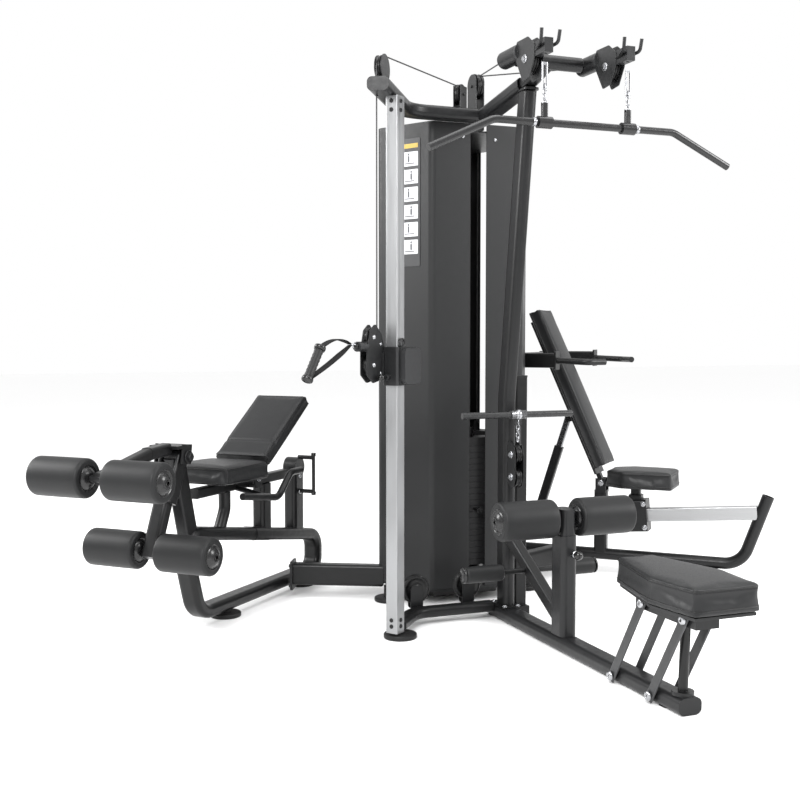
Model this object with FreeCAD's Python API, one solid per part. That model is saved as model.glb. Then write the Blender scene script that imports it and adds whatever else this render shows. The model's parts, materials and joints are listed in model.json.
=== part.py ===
import FreeCAD, Part
import math
import os

# A multi station home gym. Millimetres, +Z up. The origin is on the floor under the middle of the
# weight tower. The lat and row station faces -Y, the leg station faces 225 degrees and the press
# station faces -45 degrees, both measured from +X. Each station is drawn in its own axes, where
# +X is the way its user faces, +Y is across it and Z is up, and is then turned into place.

V = FreeCAD.Vector
UP = V(0, 0, 1)
ALONG = V(1, 0, 0)
ACROSS = V(0, 1, 0)

# driving dimensions
ROW_HEADING = -90.0
LEG_HEADING = 225.0
PRESS_HEADING = -45.0
LEG_LINE = -650.0            # the leg station's centre plane, across its own axes
PRESS_LINE = 650.0           # the press station's centre plane, across its own axes
TUBE_W = 80.0                # main frame tube, width, height, corner radius and wall
TUBE_H = 52.0
TUBE_R = 20.0
WALL = 3.0
FOOT_R = 62.0                # levelling foot discs
FOOT_H = 18.0
FOAM_R = 69.0                # foam rollers: radius, length, bore and inner end from the middle
FOAM_L = 215.0
FOAM_BORE = 14.0
FOAM_IN = 47.0
AXLE_R = 12.5

FACE_D = 283.0               # tower: distance of the three stack faces from its middle
CORNER_D = 321.0             # and of the three corner faces
SHELL_T = 3.0
SHELL_R = 32.0
SLOT_HALF = 36.5
SHELL_Z0 = 66.0
SHELL_Z1 = 1985.0
STACK_D = 205.0              # stacks: distance of their middle, plate width, depth and pitch
PLATE_W = 250.0
PLATE_D = 96.0
PLATE_H = 24.0
PLATE_PITCH = 25.0
STACK_Z0 = 160.0
RESTING = 9
LIFTED = 11
ROD_R = 12.5
ROD_GAP = 90.0               # guide rods, off the middle of each stack
PIN_R = 5.0

COLUMN = V(-513, -668, 0)    # pulley column
COLUMN_W = 50.0
COLUMN_TURN = 214.5

BEAM_Z = 2005.0              # top beams, middle height
BASE_Z = 28.0                # row tube, middle height


def box(x0, x1, y0, y1, z0, z1):
    """A plain block between its corners."""
    return Part.makeBox(x1 - x0, y1 - y0, z1 - z0, V(x0, y0, z0))


def rod(start, end, radius):
    """A round bar between two points."""
    along = end - start
    return Part.makeCylinder(radius, along.Length, start, along)


def ring(start, end, outer, inner):
    """A round tube between two points."""
    return rod(start, end, outer).cut(rod(start, end, inner))


def outline(points, closed=True):
    """A face inside straight sides."""
    wire = Part.makePolygon(points + points[:1] if closed else points)
    return Part.Face(wire)


def rounded(w, h, r):
    """A rounded rectangle wire about the origin, w along X and h along Y."""
    a, b = w / 2, h / 2
    k = r * (1 - math.sqrt(0.5))
    edges = []
    corners = [(1, 1), (-1, 1), (-1, -1), (1, -1)]
    for i, (sx, sy) in enumerate(corners):
        first = V(sx * a, sy * (b - r), 0)
        last = V(sx * (a - r), sy * b, 0)
        middle = V(sx * (a - k), sy * (b - k), 0)
        if i % 2:
            first, last = last, first
        edges.append(Part.Arc(first, middle, last).toShape())
        sx2, sy2 = corners[(i + 1) % 4]
        if i % 2:
            start, stop = last, V(sx2 * a, sy2 * (b - r), 0)
        else:
            start, stop = last, V(sx2 * (a - r), sy2 * b, 0)
        if (stop - start).Length > 0.01:
            edges.append(Part.LineSegment(start, stop).toShape())
    return Part.Wire(Part.__sortEdges__(edges))


def prism(w, h, r, start, end, side=ACROSS):
    """A rounded bar from start to end; its width lies along side."""
    along = end - start
    x = side - along * (side.dot(along) / along.dot(along))
    x.normalize()
    z = V(along)
    z.normalize()
    y = z.cross(x)
    wire = rounded(w, h, r)
    wire.Placement = FreeCAD.Placement(start, FreeCAD.Rotation(x, y, z, "ZXY"))
    return Part.Face(wire).extrude(along)


def hollow(w, h, r, start, end, side=ACROSS, wall=WALL):
    """An open tube of rounded section from start to end."""
    inner = max(r - wall, 0.5)
    outer = prism(w, h, r, start, end, side)
    return outer.cut(prism(w - 2 * wall, h - 2 * wall, inner, start, end, side))


def bent_path(points, radii):
    """Straight runs joined by tangent arcs, one radius for each inner point."""
    edges = []
    here = points[0]
    for i in range(1, len(points) - 1):
        back = points[i - 1] - points[i]
        ahead = points[i + 1] - points[i]
        back.normalize()
        ahead.normalize()
        turn = math.pi - back.getAngle(ahead)
        run = radii[i - 1] * math.tan(turn / 2)
        first = points[i] + back * run
        last = points[i] + ahead * run
        middle = back + ahead
        middle.normalize()
        hub = points[i] + middle * (radii[i - 1] / math.cos(turn / 2))
        edges.append(Part.LineSegment(here, first).toShape())
        edges.append(Part.Arc(first, hub - middle * radii[i - 1], last).toShape())
        here = last
    edges.append(Part.LineSegment(here, points[-1]).toShape())
    return Part.Wire(edges)


def swept(points, radii, profile, normal):
    """A profile wire carried along a flat bent path; normal is square to the path's plane."""
    path = bent_path(points, radii)
    along = points[1] - points[0]
    along.normalize()
    across = normal.cross(along)
    across.normalize()
    wire = profile.copy()
    turn = FreeCAD.Rotation(across, normal, along, "ZXY")
    wire.Placement = FreeCAD.Placement(points[0], turn)
    shell = Part.BRepOffsetAPI.MakePipeShell(path)
    shell.setBiNormalMode(normal)
    shell.add(wire)
    shell.build()
    shell.makeSolid()
    return shell.shape()


def bent_bar(points, radii, radius, normal):
    """A round bar along a flat bent path."""
    circle = Part.Wire([Part.makeCircle(radius)])
    return swept(points, radii, circle, normal)


def turned(shape, heading):
    """A shape in a station's axes, turned into the machine's."""
    shape = shape.copy()
    shape.rotate(V(0, 0, 0), UP, heading)
    return shape


def at_column(shape):
    """A shape drawn about the pulley column's axis, its +X on the column's outward face."""
    shape = turned(shape, COLUMN_TURN)
    shape.translate(COLUMN)
    return shape


def joined(*shapes):
    """One solid from pieces welded together."""
    first = shapes[0]
    for other in shapes[1:]:
        first = first.fuse(other)
    return first.removeSplitter()


NODES = {}


def node(name, *shapes):
    """Keeps the solids of one named sub-part."""
    NODES.setdefault(name, []).extend(shapes)


def sheave(centre, axis, radius, width):
    """A grooved cable pulley with a bearing bore."""
    half = axis * (width / 2)
    wheel = rod(centre - half, centre + half, radius)
    groove = Part.makeTorus(radius + 1.0, width * 0.27, centre, axis)
    bore = rod(centre - half * 1.1, centre + half * 1.1, 6.05)
    dish = ring(centre + half * 0.7, centre + half * 1.1, radius - 12, 13)
    dish2 = ring(centre - half * 1.1, centre - half * 0.7, radius - 12, 13)
    return wheel.cut(groove).cut(bore).cut(dish).cut(dish2)


def foam_pair(x, z, middle, end_gap):
    """The two foam rollers on one axle across a station."""
    rollers = []
    for side in (-1, 1):
        inner = V(x, middle + side * end_gap, z)
        outer = V(x, middle + side * (end_gap + FOAM_L), z)
        body = rod(inner, outer, FOAM_R)
        body = body.makeFillet(11, [e for e in body.Edges if len(e.Vertexes) == 1])
        rollers.append(body.cut(rod(inner - (outer - inner), outer + (outer - inner), FOAM_BORE)))
    return rollers


# ---------------------------------------------------------------- tower

def tower_corners(offset, z):
    """The tower's six corners, moved in by offset."""
    points = []
    for k in range(3):
        face = -90 + 120 * k
        for normal, other in ((face, face - 60), (face, face + 60)):
            a = math.radians(normal)
            b = math.radians(other)
            da = FACE_D - offset
            db = CORNER_D - offset
            det = math.cos(a) * math.sin(b) - math.sin(a) * math.cos(b)
            x = (da * math.sin(b) - db * math.sin(a)) / det
            y = (db * math.cos(a) - da * math.cos(b)) / det
            points.append(V(x, y, z))
    return points


def tower_block(offset, z0, z1, radius):
    """The tower's six sided plan as a solid with rounded upright edges."""
    solid = outline(tower_corners(offset, z0)).extrude(V(0, 0, z1 - z0))
    upright = [e for e in solid.Edges if abs(e.tangentAt(e.FirstParameter).z) > 0.9]
    return solid.makeFillet(radius, upright)


def make_tower():
    """Base and top plates, three shells, rods, bumpers and the three weight stacks."""
    base = tower_block(SHELL_T + 1, 66, 74, SHELL_R - 4)
    hub = tower_block(110, 20, 66, 20)
    top = tower_block(SHELL_T + 1, 1950, 1958, SHELL_R - 4)
    rods = []
    bumpers = []
    for heading in (-90, 30, 150):
        for side in (-1, 1):
            foot = V(STACK_D, side * ROD_GAP, 0)
            hole = rod(foot + UP * 60, foot + UP * 2000, ROD_R)
            base = base.cut(turned(hole, heading))
            top = top.cut(turned(hole, heading))
            rods.append(turned(rod(foot + UP * 66, foot + UP * 1958, ROD_R), heading))
            bump = ring(foot + UP * 74, foot + UP * (STACK_Z0 - 0.3), 24, ROD_R + 0.5)
            bumpers.append(turned(bump, heading))
        top = top.cut(turned(rod(V(STACK_D, 0, 1940), V(STACK_D, 0, 1970), 8), heading))
    mouth = rod(V(0, 0, 1940), V(0, 0, 1970), 60)
    node("tower_plates", base, hub)
    node("tower_plates", top.cut(mouth))
    node("guide_rods", *rods)
    node("guide_rods", *bumpers)

    shell = tower_block(0, SHELL_Z0 + 9, SHELL_Z1, SHELL_R)
    shell = shell.cut(tower_block(SHELL_T, SHELL_Z0 + 8, SHELL_Z1 + 1, SHELL_R - SHELL_T))
    for heading in (210, -30, 90):
        ends = []
        for side in (-1, 1):
            a = math.radians(heading + 60 * side)
            gap = box(100, 500, -SLOT_HALF, SLOT_HALF, 50, 2050)
            gap.rotate(V(0, 0, 0), UP, math.degrees(a))
            ends.append(gap)
        reach = 900.0
        left = math.radians(heading - 60)
        right = math.radians(heading + 60)
        wedge = outline([
            V(0, 0, 60),
            V(reach * math.cos(left), reach * math.sin(left), 60),
            V(reach * math.cos(right), reach * math.sin(right), 60),
        ]).extrude(V(0, 0, 1960))
        panel = shell.common(wedge).cut(ends[0]).cut(ends[1])
        node("shroud_panels", panel)


def stack_plate(z):
    """One weight plate with its rod holes and the selector hole through its front."""
    plate = prism(PLATE_W, PLATE_D, 12, V(STACK_D, 0, z), V(STACK_D, 0, z + PLATE_H))
    for side in (-1, 1):
        foot = V(STACK_D, side * ROD_GAP, z - 1)
        plate = plate.cut(rod(foot, foot + UP * (PLATE_H + 2), ROD_R + 0.6))
    stem = rod(V(STACK_D, 0, z - 1), V(STACK_D, 0, z + PLATE_H + 1), 11.6)
    return plate.cut(stem)


def make_stacks():
    """Plates that rest, plates that lift, the selector stem and pin of each stack."""
    front = STACK_D + PLATE_D / 2
    lift_z = STACK_Z0 + RESTING * PLATE_PITCH
    top_z = lift_z + LIFTED * PLATE_PITCH
    pin_z = lift_z + PLATE_H / 2
    for name, heading in (("lat", -90), ("leg", 150), ("press", 30)):
        for i in range(RESTING):
            node("resting_plates", turned(stack_plate(STACK_Z0 + i * PLATE_PITCH), heading))
        hole = rod(V(STACK_D, 0, pin_z), V(front + 5, 0, pin_z), PIN_R + 0.4)
        plates = [stack_plate(lift_z + i * PLATE_PITCH) for i in range(LIFTED)]
        plates[0] = plates[0].cut(hole)
        node("stack_" + name, *[turned(p, heading) for p in plates])
        head = prism(PLATE_W, PLATE_D, 12, V(STACK_D, 0, top_z), V(STACK_D, 0, top_z + 36))
        for side in (-1, 1):
            foot = V(STACK_D, side * ROD_GAP, top_z - 1)
            head = head.cut(rod(foot, foot + UP * 40, ROD_R + 0.6))
        stem = rod(V(STACK_D, 0, STACK_Z0 + 6), V(STACK_D, 0, top_z), 11.0)
        eye = rod(V(STACK_D, 0, top_z + 36), V(STACK_D, 0, top_z + 76), 14)
        bore = rod(V(STACK_D, 0, STACK_Z0), V(STACK_D, 0, top_z + 90), 4)
        stem = joined(head, stem, eye).cut(bore).cut(hole)
        node("stack_" + name, turned(stem, heading))
        shaft = rod(V(STACK_D + 16, 0, pin_z), V(front + 26, 0, pin_z), PIN_R)
        knob = rod(V(front + 26, 0, pin_z), V(front + 52, 0, pin_z), 11)
        node("selector_pin_" + name, turned(shaft.fuse(knob), heading))


# ---------------------------------------------------------------- frame

BEAM_HUB_Y = -200.0
ROW_START = 455.0
ROW_END = 1758.0
FRONT_TUBE_Y = -503.0
TOP_TUBE_Y = -332.0


def make_base():
    """Row base tube, curved front base tube, side beams, foot discs and floor pads."""
    z = BASE_Z
    row = hollow(TUBE_W, TUBE_H, TUBE_R, V(ROW_START, 0, z), V(ROW_END, 0, z))
    plug = prism(TUBE_W, TUBE_H, TUBE_R, V(ROW_END, 0, z), V(ROW_END + 5, 0, z))
    plug2 = prism(TUBE_W, TUBE_H, TUBE_R, V(ROW_START - 5, 0, z), V(ROW_START, 0, z))
    tube = joined(row, plug, plug2)
    for x in LINK_X:
        tube = tube.cut(rod(V(x, -60, LINK_FOOT_Z), V(x, 60, LINK_FOOT_Z), 8.05))
    node("base_tubes", turned(tube, ROW_HEADING))
    for x in (500, 1690):
        pad = prism(60, 40, 8, V(x - 30, 0, 0), V(x - 30, 0, BASE_Z - TUBE_H / 2))
        node("feet", turned(pad, ROW_HEADING))

    path = [V(-494, -654, 46), V(-372, FRONT_TUBE_Y, 46), V(-40, FRONT_TUBE_Y, 46)]
    outer = swept(path, [110], rounded(60, 40, 16), UP)
    column = at_column(prism(COLUMN_W + 0.4, COLUMN_W + 0.4, 4, UP * 10, UP * 100))
    node("base_tubes", outer.cut(column))

    for heading in (153, 27):
        beam = turned(hollow(60, 92, 14, V(340, 0, 96), V(752, 0, 96)), heading)
        beam.translate(V(0, BEAM_HUB_Y, 0))
        flange = turned(prism(92, 124, 8, V(752, 0, 92), V(762, 0, 92)), heading)
        flange.translate(V(0, BEAM_HUB_Y, 0))
        beam = beam.cut(tower_block(0, 40, 160, SHELL_R))
        node("base_tubes", joined(beam, flange))


def make_feet():
    """Levelling feet: a wide disc and a short stud under each low point of the frame."""
    spots = [
        (V(-488, -655, 0), 26.0),
        (V(-323, -99, 0), 66.0),
        (V(323, -99, 0), 66.0),
        (V(0, 330, 0), 66.0),
        (V(0, 0, 0), 20.0),
    ]
    leg = turned(Part.Vertex(V(800, LEG_LINE, 0)), LEG_HEADING).Point
    leg_back = turned(Part.Vertex(V(180, LEG_LINE, 0)), LEG_HEADING).Point
    press = turned(Part.Vertex(V(1040, PRESS_LINE, 0)), PRESS_HEADING).Point
    press_back = turned(Part.Vertex(V(60, PRESS_LINE, 0)), PRESS_HEADING).Point
    spots += [(leg, 30.0), (leg_back, 30.0), (press, 58.0), (press_back, 58.0)]
    for foot, top in spots:
        disc = rod(foot, foot + UP * FOOT_H, FOOT_R)
        disc = disc.makeFillet(5, [e for e in disc.Edges if len(e.Vertexes) == 1])
        if top - FOOT_H > 4:
            disc = disc.fuse(rod(foot + UP * (FOOT_H - 1), foot + UP * top, 22))
        node("feet", disc)



# ---------------------------------------------------------------- lat and row station

MAST_FOOT = V(551, 0, BASE_Z + TUBE_H / 2)
MAST_BEND = V(551, 0, 870)
MAST_TOP = V(709, 0, 2030)
HEAD_X = 872.0               # lat head: crossbar, swivel housings and pulley blocks
HEAD_Z = 2100.0
BLOCK_Y = 158.0
SHEAVE_X = 1025.0
SHEAVE_Z = 2062.0
SHEAVE_R = 50.0
BAR_X = 1138.0
BAR_Z = 1829.0
BAR_R = 12.5
KNEE_X = 1010.0
KNEE_Z = 474.0
REST_X = 755.0               # footrest rollers
REST_Z = 236.0
LINK_FOOT_Z = 26.0           # row seat's four links
LINK_TOP_Z = 300.0
LINK_X = (1412.0, 1627.0)
LINK_LEAN = 165.0
LOW_X = 628.0                # low row pulleys
LOW_SHEAVES = (575.0, 662.0)
ROW_BAR_X = 648.0
ROW_BAR_Z = 818.0


def row(shape):
    return turned(shape, ROW_HEADING)


def make_mast():
    """Lat mast, the beams that tie it to the tower, and the low pulley post."""
    lean = MAST_TOP - MAST_BEND
    foot = prism(50, 84, 22, MAST_FOOT, MAST_BEND + UP * 12)
    upper = prism(50, 84, 22, MAST_BEND - lean * 0.012, MAST_TOP)
    upper = upper.cut(box(600, 800, -60, 60, MAST_TOP.z, 2100))
    plate = prism(74, 110, 10, MAST_FOOT, MAST_FOOT + UP * 8)
    mast = joined(foot, upper, plate)
    for z in LOW_SHEAVES:
        mast = mast.cut(rod(V(LOW_X, -13, z), V(LOW_X, 13, z), 42))
    node("lat_frame", row(mast))

    start = V(360, 0, BEAM_Z)
    beam = hollow(TUBE_W, 50, 18, start, V(MAST_TOP.x - 8, 0, BEAM_Z + 52))
    reach = prism(60, 50, 18, V(MAST_TOP.x - 20, 0, 2056), V(HEAD_X - 20, 0, HEAD_Z))
    reach = reach.cut(prism(50, 84, 22, MAST_BEND, MAST_TOP))
    cap = prism(60, 94, 20, MAST_TOP, MAST_TOP + UP * 8)
    head = [beam.cut(prism(50, 84, 22, MAST_BEND, MAST_TOP)), reach, cap]
    head.append(rod(V(HEAD_X, -BLOCK_Y + 30, HEAD_Z), V(HEAD_X, BLOCK_Y - 30, HEAD_Z), 26))
    for y in (-BLOCK_Y, BLOCK_Y):
        head.append(ring(V(835, y, HEAD_Z), V(955, y, HEAD_Z), 31, 14))
    node("lat_frame", row(joined(*head)))

    tip = V(-606, -742, BEAM_Z)
    path = [tip, V(-345, TOP_TUBE_Y, BEAM_Z), V(-41, TOP_TUBE_Y, BEAM_Z)]
    top = swept(path, [150], rounded(TUBE_W, 50, 18), UP)
    top = top.cut(rod(V(DROP.x, DROP.y, 1900), V(DROP.x, DROP.y, 2100), 8))
    node("lat_frame", top)

    post = hollow(50, 50, 6, V(490, 86, BASE_Z + 10), V(490, 86, 955))
    cap = prism(52, 52, 6, V(490, 86, 955), V(490, 86, 963))
    shelf = box(455, 540, 40.3, 112, 6, 40)
    node("lat_frame", row(joined(post, cap, shelf)))


def make_lat_head():
    """Swinging pulley blocks with their bar hooks, and the sheaves in them."""
    for side, name in ((-1, "left"), (1, "right")):
        y = side * BLOCK_Y
        collar = ring(V(956, y, HEAD_Z), V(972, y, HEAD_Z), 31, 9)
        sleeve = ring(V(838, y, HEAD_Z), V(958, y, HEAD_Z), 13.9, 9)
        cheeks = []
        for off in (-19, 16):
            plate = outline([
                V(962, y + off, 2132), V(1046, y + off, 2132), V(1092, y + off, 2098),
                V(1092, y + off, 2052), V(1058, y + off, 1994), V(1010, y + off, 1988),
                V(962, y + off, 2064),
            ]).extrude(ACROSS * 3)
            corners = [e for e in plate.Edges if abs(e.tangentAt(e.FirstParameter).y) > 0.9]
            cheeks.append(plate.makeFillet(9, corners))
        axle = rod(V(SHEAVE_X, y - 24, SHEAVE_Z), V(SHEAVE_X, y + 24, SHEAVE_Z), 6)
        guide = box(1086, 1160, y - 16, y + 16, 2056, 2104)
        guide = guide.cut(rod(V(BAR_X, y, 2000), V(BAR_X, y, 2200), 6))
        guide = guide.cut(box(1080, 1140, y - 8, y + 8, 2062, 2098))
        hooks = []
        for s in (-1, 1):
            start = V(1092, y + s * 12, 2076)
            bend = V(1164, y + s * 32, 2088)
            tip = V(1172, y + s * 34, 2128)
            normal = (bend - start).cross(tip - bend)
            normal.normalize()
            hooks.append(bent_bar([start, bend, tip], [16], 6, normal))
        block = joined(collar, sleeve, cheeks[0], cheeks[1], axle, guide, *hooks)
        block = block.cut(rod(V(830, y, HEAD_Z), V(975, y, HEAD_Z), 9))
        node("lat_block_" + name, row(block))
        wheel = sheave(V(SHEAVE_X, y, SHEAVE_Z), ACROSS, SHEAVE_R, 24)
        node("lat_sheave_" + name, row(wheel))


def make_lat_bar():
    """The wide bar with its turned down ends, collars, swivels and the chains it hangs on."""
    points = [V(BAR_X, -578, 1722), V(BAR_X, -346, BAR_Z), V(BAR_X, 0, BAR_Z)]
    half = bent_bar(points, [70], BAR_R, ALONG)
    other = half.mirror(V(0, 0, 0), ACROSS)
    bar = joined(half, other)
    collars = []
    for side in (-1, 1):
        y = side * 161.0
        collars.append(ring(V(BAR_X, y - 26, BAR_Z), V(BAR_X, y + 26, BAR_Z), 20, BAR_R))
        neck = prism(22, 16, 5, V(BAR_X, y, BAR_Z + 17), V(BAR_X, y, BAR_Z + 66))
        neck = neck.cut(rod(V(BAR_X, y - 15, BAR_Z + 58), V(BAR_X, y + 15, BAR_Z + 58), 5))
        collars.append(neck.cut(rod(V(BAR_X, y - 30, BAR_Z), V(BAR_X, y + 30, BAR_Z), BAR_R)))
    node("lat_bar", row(bar))
    left = joined(collars[0], collars[1])
    right = joined(collars[2], collars[3])
    node("lat_bar_hangers", row(left), row(right))
    for side in (-1, 1):
        y = side * 161.0
        z0 = BAR_Z + 66
        for i in range(4):
            centre = V(BAR_X, y, z0 + 3.6 + i * 15.4)
            link = Part.makeTorus(8.6, 2.2, V(0, 0, 0), ALONG)
            scale = FreeCAD.Matrix()
            scale.scale(1.0, 0.8, 1.35)
            link = link.transformGeometry(scale)
            if i % 2:
                link.rotate(V(0, 0, 0), UP, 90)
            link.translate(centre)
            node("lat_bar_hangers", row(link))
        hook = prism(22, 7, 3.4, V(BAR_X, y, z0 + 48), V(BAR_X, y, z0 + 132))
        slot = prism(12, 30, 3, V(BAR_X, y, z0 + 53.4), V(BAR_X, y, z0 + 124))
        node("lat_bar_hangers", row(hook.cut(slot)))


def make_row_parts():
    """Low pulleys and bracket, row bar, knee post and rollers, footrest and brace."""
    bracket = []
    for y in (-19, 16):
        plate = outline([
            V(594, y, 560), V(622, y, 532), V(650, y, 540), V(664, y, 575),
            V(664, y, 660), V(650, y, 700), V(614, y, 712), V(594, y, 700),
        ]).extrude(ACROSS * 3)
        bracket.append(plate)
    bracket.append(box(593.5, 597, -19, 19, 609, 630))
    for z in LOW_SHEAVES:
        bracket.append(rod(V(LOW_X, -24, z), V(LOW_X, 24, z), 6))
    node("lat_frame", row(joined(*bracket)))
    for name, z in zip(("low_sheave_lower", "low_sheave_upper"), LOW_SHEAVES):
        node(name, row(sheave(V(LOW_X, 0, z), ACROSS, 38, 22)))

    grip = rod(V(ROW_BAR_X, -235, ROW_BAR_Z), V(ROW_BAR_X, 235, ROW_BAR_Z), 12.5)
    yoke = ring(V(ROW_BAR_X, -32, ROW_BAR_Z), V(ROW_BAR_X, 32, ROW_BAR_Z), 17, 12.5)
    lug = box(ROW_BAR_X - 5, ROW_BAR_X + 5, -14, 14, ROW_BAR_Z - 40, ROW_BAR_Z - 15)
    lug = lug.cut(rod(V(ROW_BAR_X - 9, 0, ROW_BAR_Z - 30), V(ROW_BAR_X + 9, 0, ROW_BAR_Z - 30), 6))
    node("row_bar", row(grip), row(joined(yoke, lug)))

    z0 = BASE_Z + TUBE_H / 2
    post = hollow(62, 92, 20, V(KNEE_X, 0, z0), V(KNEE_X, 0, 415), ACROSS, 4)
    post = post.cut(rod(V(KNEE_X + 30, 12, 352), V(KNEE_X + 60, 12, 352), 7))
    inner = prism(53.6, 83.6, 16, V(KNEE_X, 0, 200), V(KNEE_X, 0, KNEE_Z + 34))
    axle = rod(V(KNEE_X, -FOAM_IN - FOAM_L - 6, KNEE_Z), V(KNEE_X, FOAM_IN + FOAM_L + 6, KNEE_Z), AXLE_R)
    inner = inner.cut(box(KNEE_X + 24, KNEE_X + 50, 4, 20, 210, 400))
    node("knee_slide", row(joined(inner, axle)))
    pair = foam_pair(KNEE_X, KNEE_Z, 0, FOAM_IN)
    node("knee_rollers", row(pair[0]), row(pair[1]))
    x = KNEE_X + 46
    shaft = rod(V(x - 18, 12, 352), V(x + 24, 12, 352), 5)
    ball = Part.makeSphere(16, V(x + 34, 12, 352))
    node("knee_pin", row(shaft.fuse(ball)))

    bar = rod(V(REST_X, -282, REST_Z), V(REST_X, 282, REST_Z), 10)
    for y in (-195, 195):
        body = rod(V(REST_X, y - 78, REST_Z), V(REST_X, y + 78, REST_Z), 31)
        body = body.makeFillet(6, [e for e in body.Edges if len(e.Vertexes) == 1])
        hole = rod(V(REST_X, y - 80, REST_Z), V(REST_X, y + 80, REST_Z), 10.4)
        node("footrest_rollers", row(body.cut(hole)))
    brace = prism(40, 50, 8, V(560, 0, 352), V(1015, 0, 92))
    brace = brace.cut(prism(50, 84, 22, MAST_FOOT, MAST_BEND))
    brace = brace.cut(prism(62, 92, 20, V(KNEE_X, 0, z0), V(KNEE_X, 0, 415)))
    node("knee_post", row(joined(post, brace, bar)))


def make_row_seat():
    """Seat on four flat links, and the post it comes to rest on."""
    for name, x in (("row_links_front", LINK_X[0]), ("row_links_rear", LINK_X[1])):
        foot = V(x, 0, LINK_FOOT_Z)
        top = V(x + LINK_LEAN, 0, LINK_TOP_Z)
        pieces = []
        for y in (-52, 44):
            way = (top - foot)
            way.normalize()
            bar = prism(8, 34, 3.9, foot - way * 16 + ACROSS * (y + 4), top + way * 16 + ACROSS * (y + 4))
            pieces.append(bar)
        for end, reach in ((foot, 60), (top, 58)):
            pieces.append(rod(end - ACROSS * reach, end + ACROSS * reach, 8))
        node(name, row(joined(*pieces)))
    carrier = box(LINK_X[0] + 118, LINK_X[1] + 212, -40, 40, 278, 322)
    for x in LINK_X:
        top = V(x + LINK_LEAN, 0, LINK_TOP_Z)
        carrier = carrier.cut(rod(top - ACROSS * 60, top + ACROSS * 60, 8.05))
    board = seat_plan(-14, 329).extrude(UP * 9)
    web = box(LINK_X[0] + 170, LINK_X[1] + 160, -40, 40, 321, 330)
    node("row_seat_carrier", row(joined(carrier, web, board)))
    pad = seat_plan(0, 338).extrude(UP * 86)
    upright = [e for e in pad.Edges if abs(e.tangentAt(e.FirstParameter).z) > 0.9]
    pad = pad.makeFillet(18, upright)
    pad = pad.makeFillet(10, [e for e in pad.Edges if e.BoundBox.ZMin > 420])
    node("row_seat_pad", row(pad))
    z0 = BASE_Z + TUBE_H / 2
    post = rod(V(1724, 0, z0 - 4), V(1735, 0, 272), 15).cut(box(1600, 1900, -60, 60, 0, z0))
    collar = rod(V(1724, 0, z0), V(1724, 0, z0 + 12), 34)
    cup = rod(V(1735, 0, 264), V(1735, 0, 277.5), 24)
    node("base_tubes", row(joined(post, collar, cup)))


def seat_plan(grow, z):
    """The row seat's outline: narrow towards the tower, widest past its middle."""
    g = grow
    return outline([
        V(1450 - g, -70 - g, z), V(1740, -142 - g, z), V(1935 + g, -118 - g, z),
        V(1935 + g, 118 + g, z), V(1740, 142 + g, z), V(1450 - g, 70 + g, z),
    ])


# ---------------------------------------------------------------- pulley column

CABLE_Y = -43.0              # the column cable's plane, in the column's own axes
RIG_Z = 1010.0               # carriage, middle height
RIG_HALF = 70.0
TOP_SHEAVE = V(-552.4, -625.0, 2086)
COLUMN_RUN = V(math.cos(math.radians(51)), math.sin(math.radians(51)), 0)
DROP = TOP_SHEAVE - COLUMN_RUN * 46
TOWER_SHEAVE = V(0, -255, 2140)
TURN_SHEAVE = V(-104, -328, 2086)
LOW_ROW = V(0, -668, 0)         # where the low row cable leaves the tower


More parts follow.
